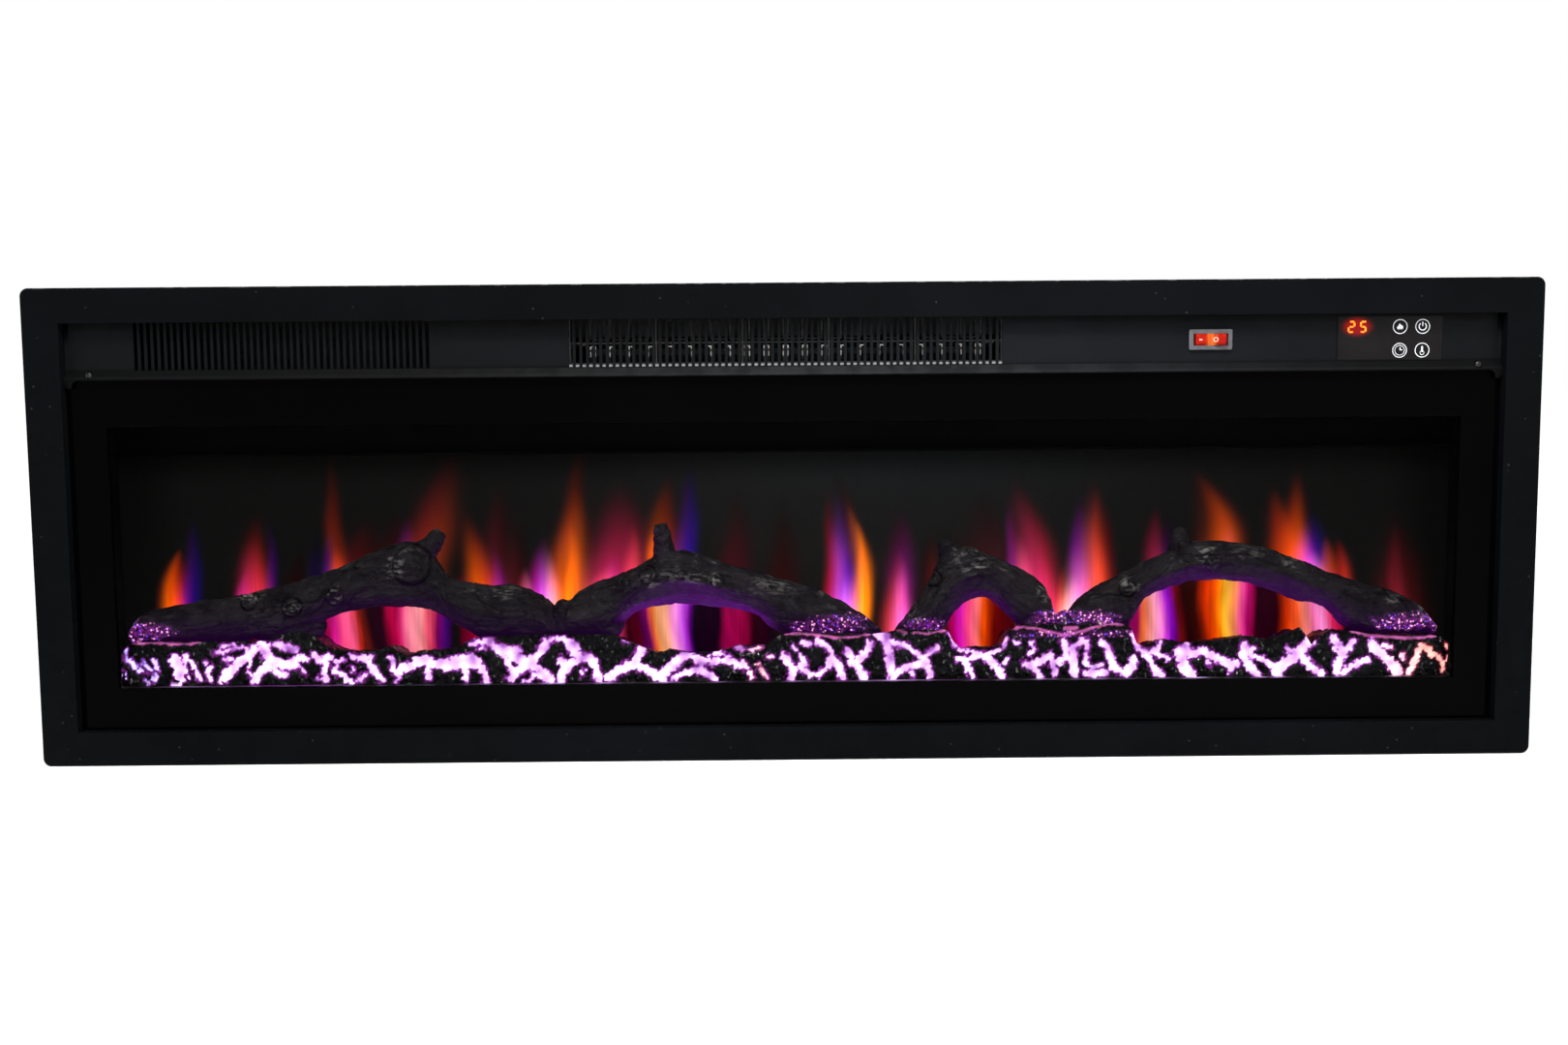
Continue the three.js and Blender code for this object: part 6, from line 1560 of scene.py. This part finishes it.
def make_digits():
    """Two lit seven-segment figures on the film: a plain two and five."""
    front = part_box("touch_film")[0].y - 0.00008
    pattern = make_bar("segment", 4.9 * MM, 1.45 * MM, 0.12 * MM)
    lit = make_lit_digit()
    half, step, lean = 2.2 * MM, 4.3 * MM, 0.10
    places = {
        "top": (0, step, 0), "middle": (0, 0, 0), "bottom": (0, -step, 0),
        "upper left": (-half, step / 2, 90), "upper right": (half, step / 2, 90),
        "lower left": (-half, -step / 2, 90), "lower right": (half, -step / 2, 90),
    }
    for name, digit, middle_x in (("left_digit", 2, 480.6 * MM), ("right_digit", 5, 490.5 * MM)):
        bars = []
        for label in DIGIT_SEGMENTS[digit]:
            across, up, turn = places[label]
            bar = pattern.copy()
            bar.data = pattern.data.copy()
            scene.collection.objects.link(bar)
            bar.rotation_euler = (0, math.radians(turn), 0)
            bar.location = (middle_x + across + up * lean, front, UPPER_ROW * MM + up)
            bars.append(set_in_place(bar))
        piece = join_pieces(bars, name)
        finish_piece(piece, lit)
        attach(piece, "casing")
    bpy.data.objects.remove(pattern)


def make_ring(x, z, front, outer, line):
    """A printed ring: a flattened torus standing on the film."""
    bpy.ops.object.select_all(action="DESELECT")
    bpy.ops.mesh.primitive_torus_add(
        major_radius=outer - line / 2, minor_radius=line / 2, major_segments=56, minor_segments=8,
        location=(x, front, z), rotation=(math.radians(90), 0, 0))
    piece = new_piece("ring")
    piece.scale = (1, 1, 0.12)
    return set_in_place(piece)


def make_flat(outline, x, z, front, thick=0.00006):
    """A printed shape: a flat outline of points about (x, z), given a little thickness."""
    curve = bpy.data.curves.new("shape", "CURVE")
    curve.dimensions = "2D"
    curve.fill_mode = "BOTH"
    curve.extrude = thick / 2
    spline = curve.splines.new("POLY")
    spline.points.add(len(outline) - 1)
    for point, (across, up) in zip(spline.points, outline):
        point.co = (across * MM, up * MM, 0, 1)
    spline.use_cyclic_u = True
    piece = bpy.data.objects.new("shape", curve)
    scene.collection.objects.link(piece)
    select_only(piece)
    bpy.ops.object.convert(target="MESH")
    piece = bpy.context.object
    piece.rotation_euler = (math.radians(90), 0, 0)
    piece.location = (x, front, z)
    return set_in_place(piece)


def arc(radius, start, end, count):
    """Points of an arc about the origin, angles in degrees from straight up."""
    turns = [math.radians(start + (end - start) * i / count) for i in range(count + 1)]
    return [(radius * math.sin(turn), radius * math.cos(turn)) for turn in turns]


def make_symbols():
    """Four printed symbols on the film: flame, power, clock and thermometer."""
    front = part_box("touch_film")[0].y - 0.00005
    pale = make_window_print("symbol_print", (0.66, 0.67, 0.70), (0.82, 0.83, 0.86), 0.50)
    line = 0.62 * MM
    tongue = [(-1.9, -2.6), (-2.7, -1.0), (-2.3, 0.6), (-1.6, -0.3), (-1.2, 1.6), (-0.3, 2.9), (0.1, 1.0),
              (0.9, 1.9), (1.2, 0.4), (2.0, 1.1), (2.6, -0.6), (2.0, -2.4), (1.1, -1.2), (0.9, -2.8),
              (0.0, -1.4), (-0.8, -2.8), (-1.1, -1.4)]
    power_arc = arc(3.5, 36, 324, 26) + arc(2.65, 324, 36, 26)
    stroke = [(-0.42, 0.2), (0.42, 0.2), (0.42, 3.9), (-0.42, 3.9)]
    hand = [(0.0, 0.0), (2.3, 0.0), (2.3, 0.75), (0.75, 0.75), (0.75, 2.6), (0.0, 2.6)]
    tube = [(-0.75, -1.2), (-0.75, 2.9), (0.0, 3.7), (0.75, 2.9), (0.75, -1.2)]
    stem = arc(1.6, 155, 205, 2)[::-1] + tube
    left, right = 521.9, 541.0
    symbols = (
        ("flame_symbol", left, UPPER_ROW, [tongue], ()),
        ("power_symbol", right, UPPER_ROW, [power_arc, stroke], ()),
        ("clock_symbol", left, LOWER_ROW, [hand], ((0, 4.3),)),
        ("thermometer_symbol", right, LOWER_ROW, [stem], ((-2.2, 1.9),)),
    )
    for name, x, z, shapes, rings in symbols:
        made = [make_ring(x * MM, z * MM, front, 6.2 * MM, line)]
        for shape in shapes:
            made.append(make_flat(shape, x * MM, z * MM, front))
        for rise, radius in rings:
            made.append(make_ring(x * MM, z * MM + rise * MM, front, radius * MM, 0.45 * MM))
        piece = join_pieces(made, name)
        finish_piece(piece, pale)
        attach(piece, "casing")


def make_rocker_marks():
    """The plain line and circle on the rocker, on its two slopes."""
    low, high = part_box("rocker_paddle")
    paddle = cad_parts["rocker_paddle"]
    pale = make_window_print("rocker_print", (0.75, 0.52, 0.45), (0.90, 0.70, 0.62), 0.50)
    bpy.context.view_layer.update()
    middle_z = (low.z + high.z) / 2
    for name, across in (("rocker_line_mark", -8.6), ("rocker_circle_mark", 3.9)):
        x = (low.x + high.x) / 2 + across * MM
        point, normal = paddle.ray_cast(Vector((x, low.y - 0.05, middle_z)), Vector((0, 1, 0)))[1:3]
        if name == "rocker_line_mark":
            piece = make_bar("line", 3.2 * MM, 0.7 * MM, 0.1 * MM)
        else:
            piece = make_ring(0, 0, 0, 2.0 * MM, 0.48 * MM)
        tilt = math.atan2(normal.x, -normal.y)
        piece.rotation_euler = (0, 0, tilt)
        piece.location = point + normal * 0.00005
        set_in_place(piece)
        name_piece(piece, name)
        finish_piece(piece, pale)
        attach(piece, "rocker")


# ---------------------------------------------------------------- fascia ends

def make_fascia_ends():
    """The fascia's folded ends, which close the gap beside it in the frame's opening."""
    low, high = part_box("control_fascia")
    reach = 608.8 * MM
    tucked = 3 * MM
    outside = [(0.1, 0.3), (0.1, 7.6), (5.1, 14.6), (5.1, 62.5)]
    inside = [(6.3, 62.5), (6.3, 14.0), (1.3, 7.0), (1.3, 0.3)]
    ends = (("fascia_end_left", -reach, low.x + tucked), ("fascia_end_right", high.x - tucked, reach))
    for name, start, end in ends:
        piece = make_flat(outside + inside, 0, 0, 0, end - start)
        piece.rotation_euler = (0, 0, math.radians(90))
        piece.location = ((start + end) / 2, low.y, low.z)
        set_in_place(piece)
        name_piece(piece, name)
        finish_piece(piece, finish_of("control_fascia"))
        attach(piece, "casing")


# ---------------------------------------------------------------- floor and light

def seen_of(tree, combine):
    """Marks the rays that look straight at a surface, or at it in a gloss or through glass."""
    rays = put(tree, "ShaderNodeLightPath").outputs
    seen = combine(tree, rays["Is Camera Ray"], rays["Is Glossy Ray"])
    return combine(tree, seen, rays["Is Transmission Ray"])


def make_stage():
    """A plain white floor under the frame's lower edge."""
    frame_foot = -0.2041
    bpy.ops.object.select_all(action="DESELECT")
    bpy.ops.mesh.primitive_plane_add(size=30, location=(0, 0, frame_foot))
    floor = new_piece("floor")
    material = bpy.data.materials.new("floor_white")
    material.use_nodes = True
    tree = material.node_tree
    shader = tree.nodes["Principled BSDF"]
    shader.inputs["Base Color"].default_value = rgb(0.85, 0.85, 0.85)
    shader.inputs["Roughness"].default_value = 0.9
    shader.inputs["Specular IOR Level"].default_value = 0.0
    seen = seen_of(tree, sum_of)
    lift = put(tree, "ShaderNodeMath", {0: seen, 1: 0.70}, operation="MULTIPLY", use_clamp=True).outputs[0]
    white = put(tree, "ShaderNodeEmission", {"Color": rgb(1, 1, 1), "Strength": lift})
    both = put(tree, "ShaderNodeAddShader", {0: shader.outputs[0], 1: white.outputs[0]})
    tree.links.new(both.outputs[0], tree.nodes["Material Output"].inputs["Surface"])
    floor.data.materials.append(material)


def make_world():
    """A white room: plain light for the object, pure white where it is seen."""
    world = bpy.data.worlds.new("studio")
    scene.world = world
    world.use_nodes = True
    tree = world.node_tree
    strength = step_up(tree, seen_of(tree, larger), 0.0, 1.0, 0.45, 1.0)
    sky = tree.nodes["Background"]
    sky.inputs["Color"].default_value = rgb(1, 1, 1)
    tree.links.new(strength, sky.inputs["Strength"])


def make_lamp(name, place, aim, size, power):
    """A large soft lamp aimed at a point."""
    light = bpy.data.lights.new(name, "AREA")
    light.shape = "RECTANGLE"
    light.size, light.size_y = size
    light.energy = power
    lamp = bpy.data.objects.new(name, light)
    lamp.location = place
    lamp.rotation_euler = (Vector(aim) - Vector(place)).to_track_quat("-Z", "Y").to_euler()
    scene.collection.objects.link(lamp)


def make_lights():
    """Two lamps over the front, one at the side and one behind."""
    make_lamp("overhead_lamp", (0.12, -1.1, 1.35), (0.02, -0.1, 0), (1.5, 0.8), 12)
    make_lamp("top_lamp", (0.06, -0.58, 0.86), (0.02, -0.15, 0.18), (0.55, 0.16), 10)
    make_lamp("side_lamp", (2.2, -1.9, 0.9), (0, -0.1, 0), (1.2, 1.6), 6)
    make_lamp("back_lamp", (1.2, 2.0, 1.8), (0, 0, 0), (2.0, 1.5), 20)


# ---------------------------------------------------------------- the whole object

scene.view_settings.view_transform = "Standard"
place_camera()
make_world()
make_stage()
make_lights()
finish_model()
make_flame_picture()
make_ember_heap()
for log in ("log_1", "log_2", "log_3", "log_4"):
    make_bark_log(log)
make_digits()
make_symbols()
make_rocker_marks()
make_fascia_ends()
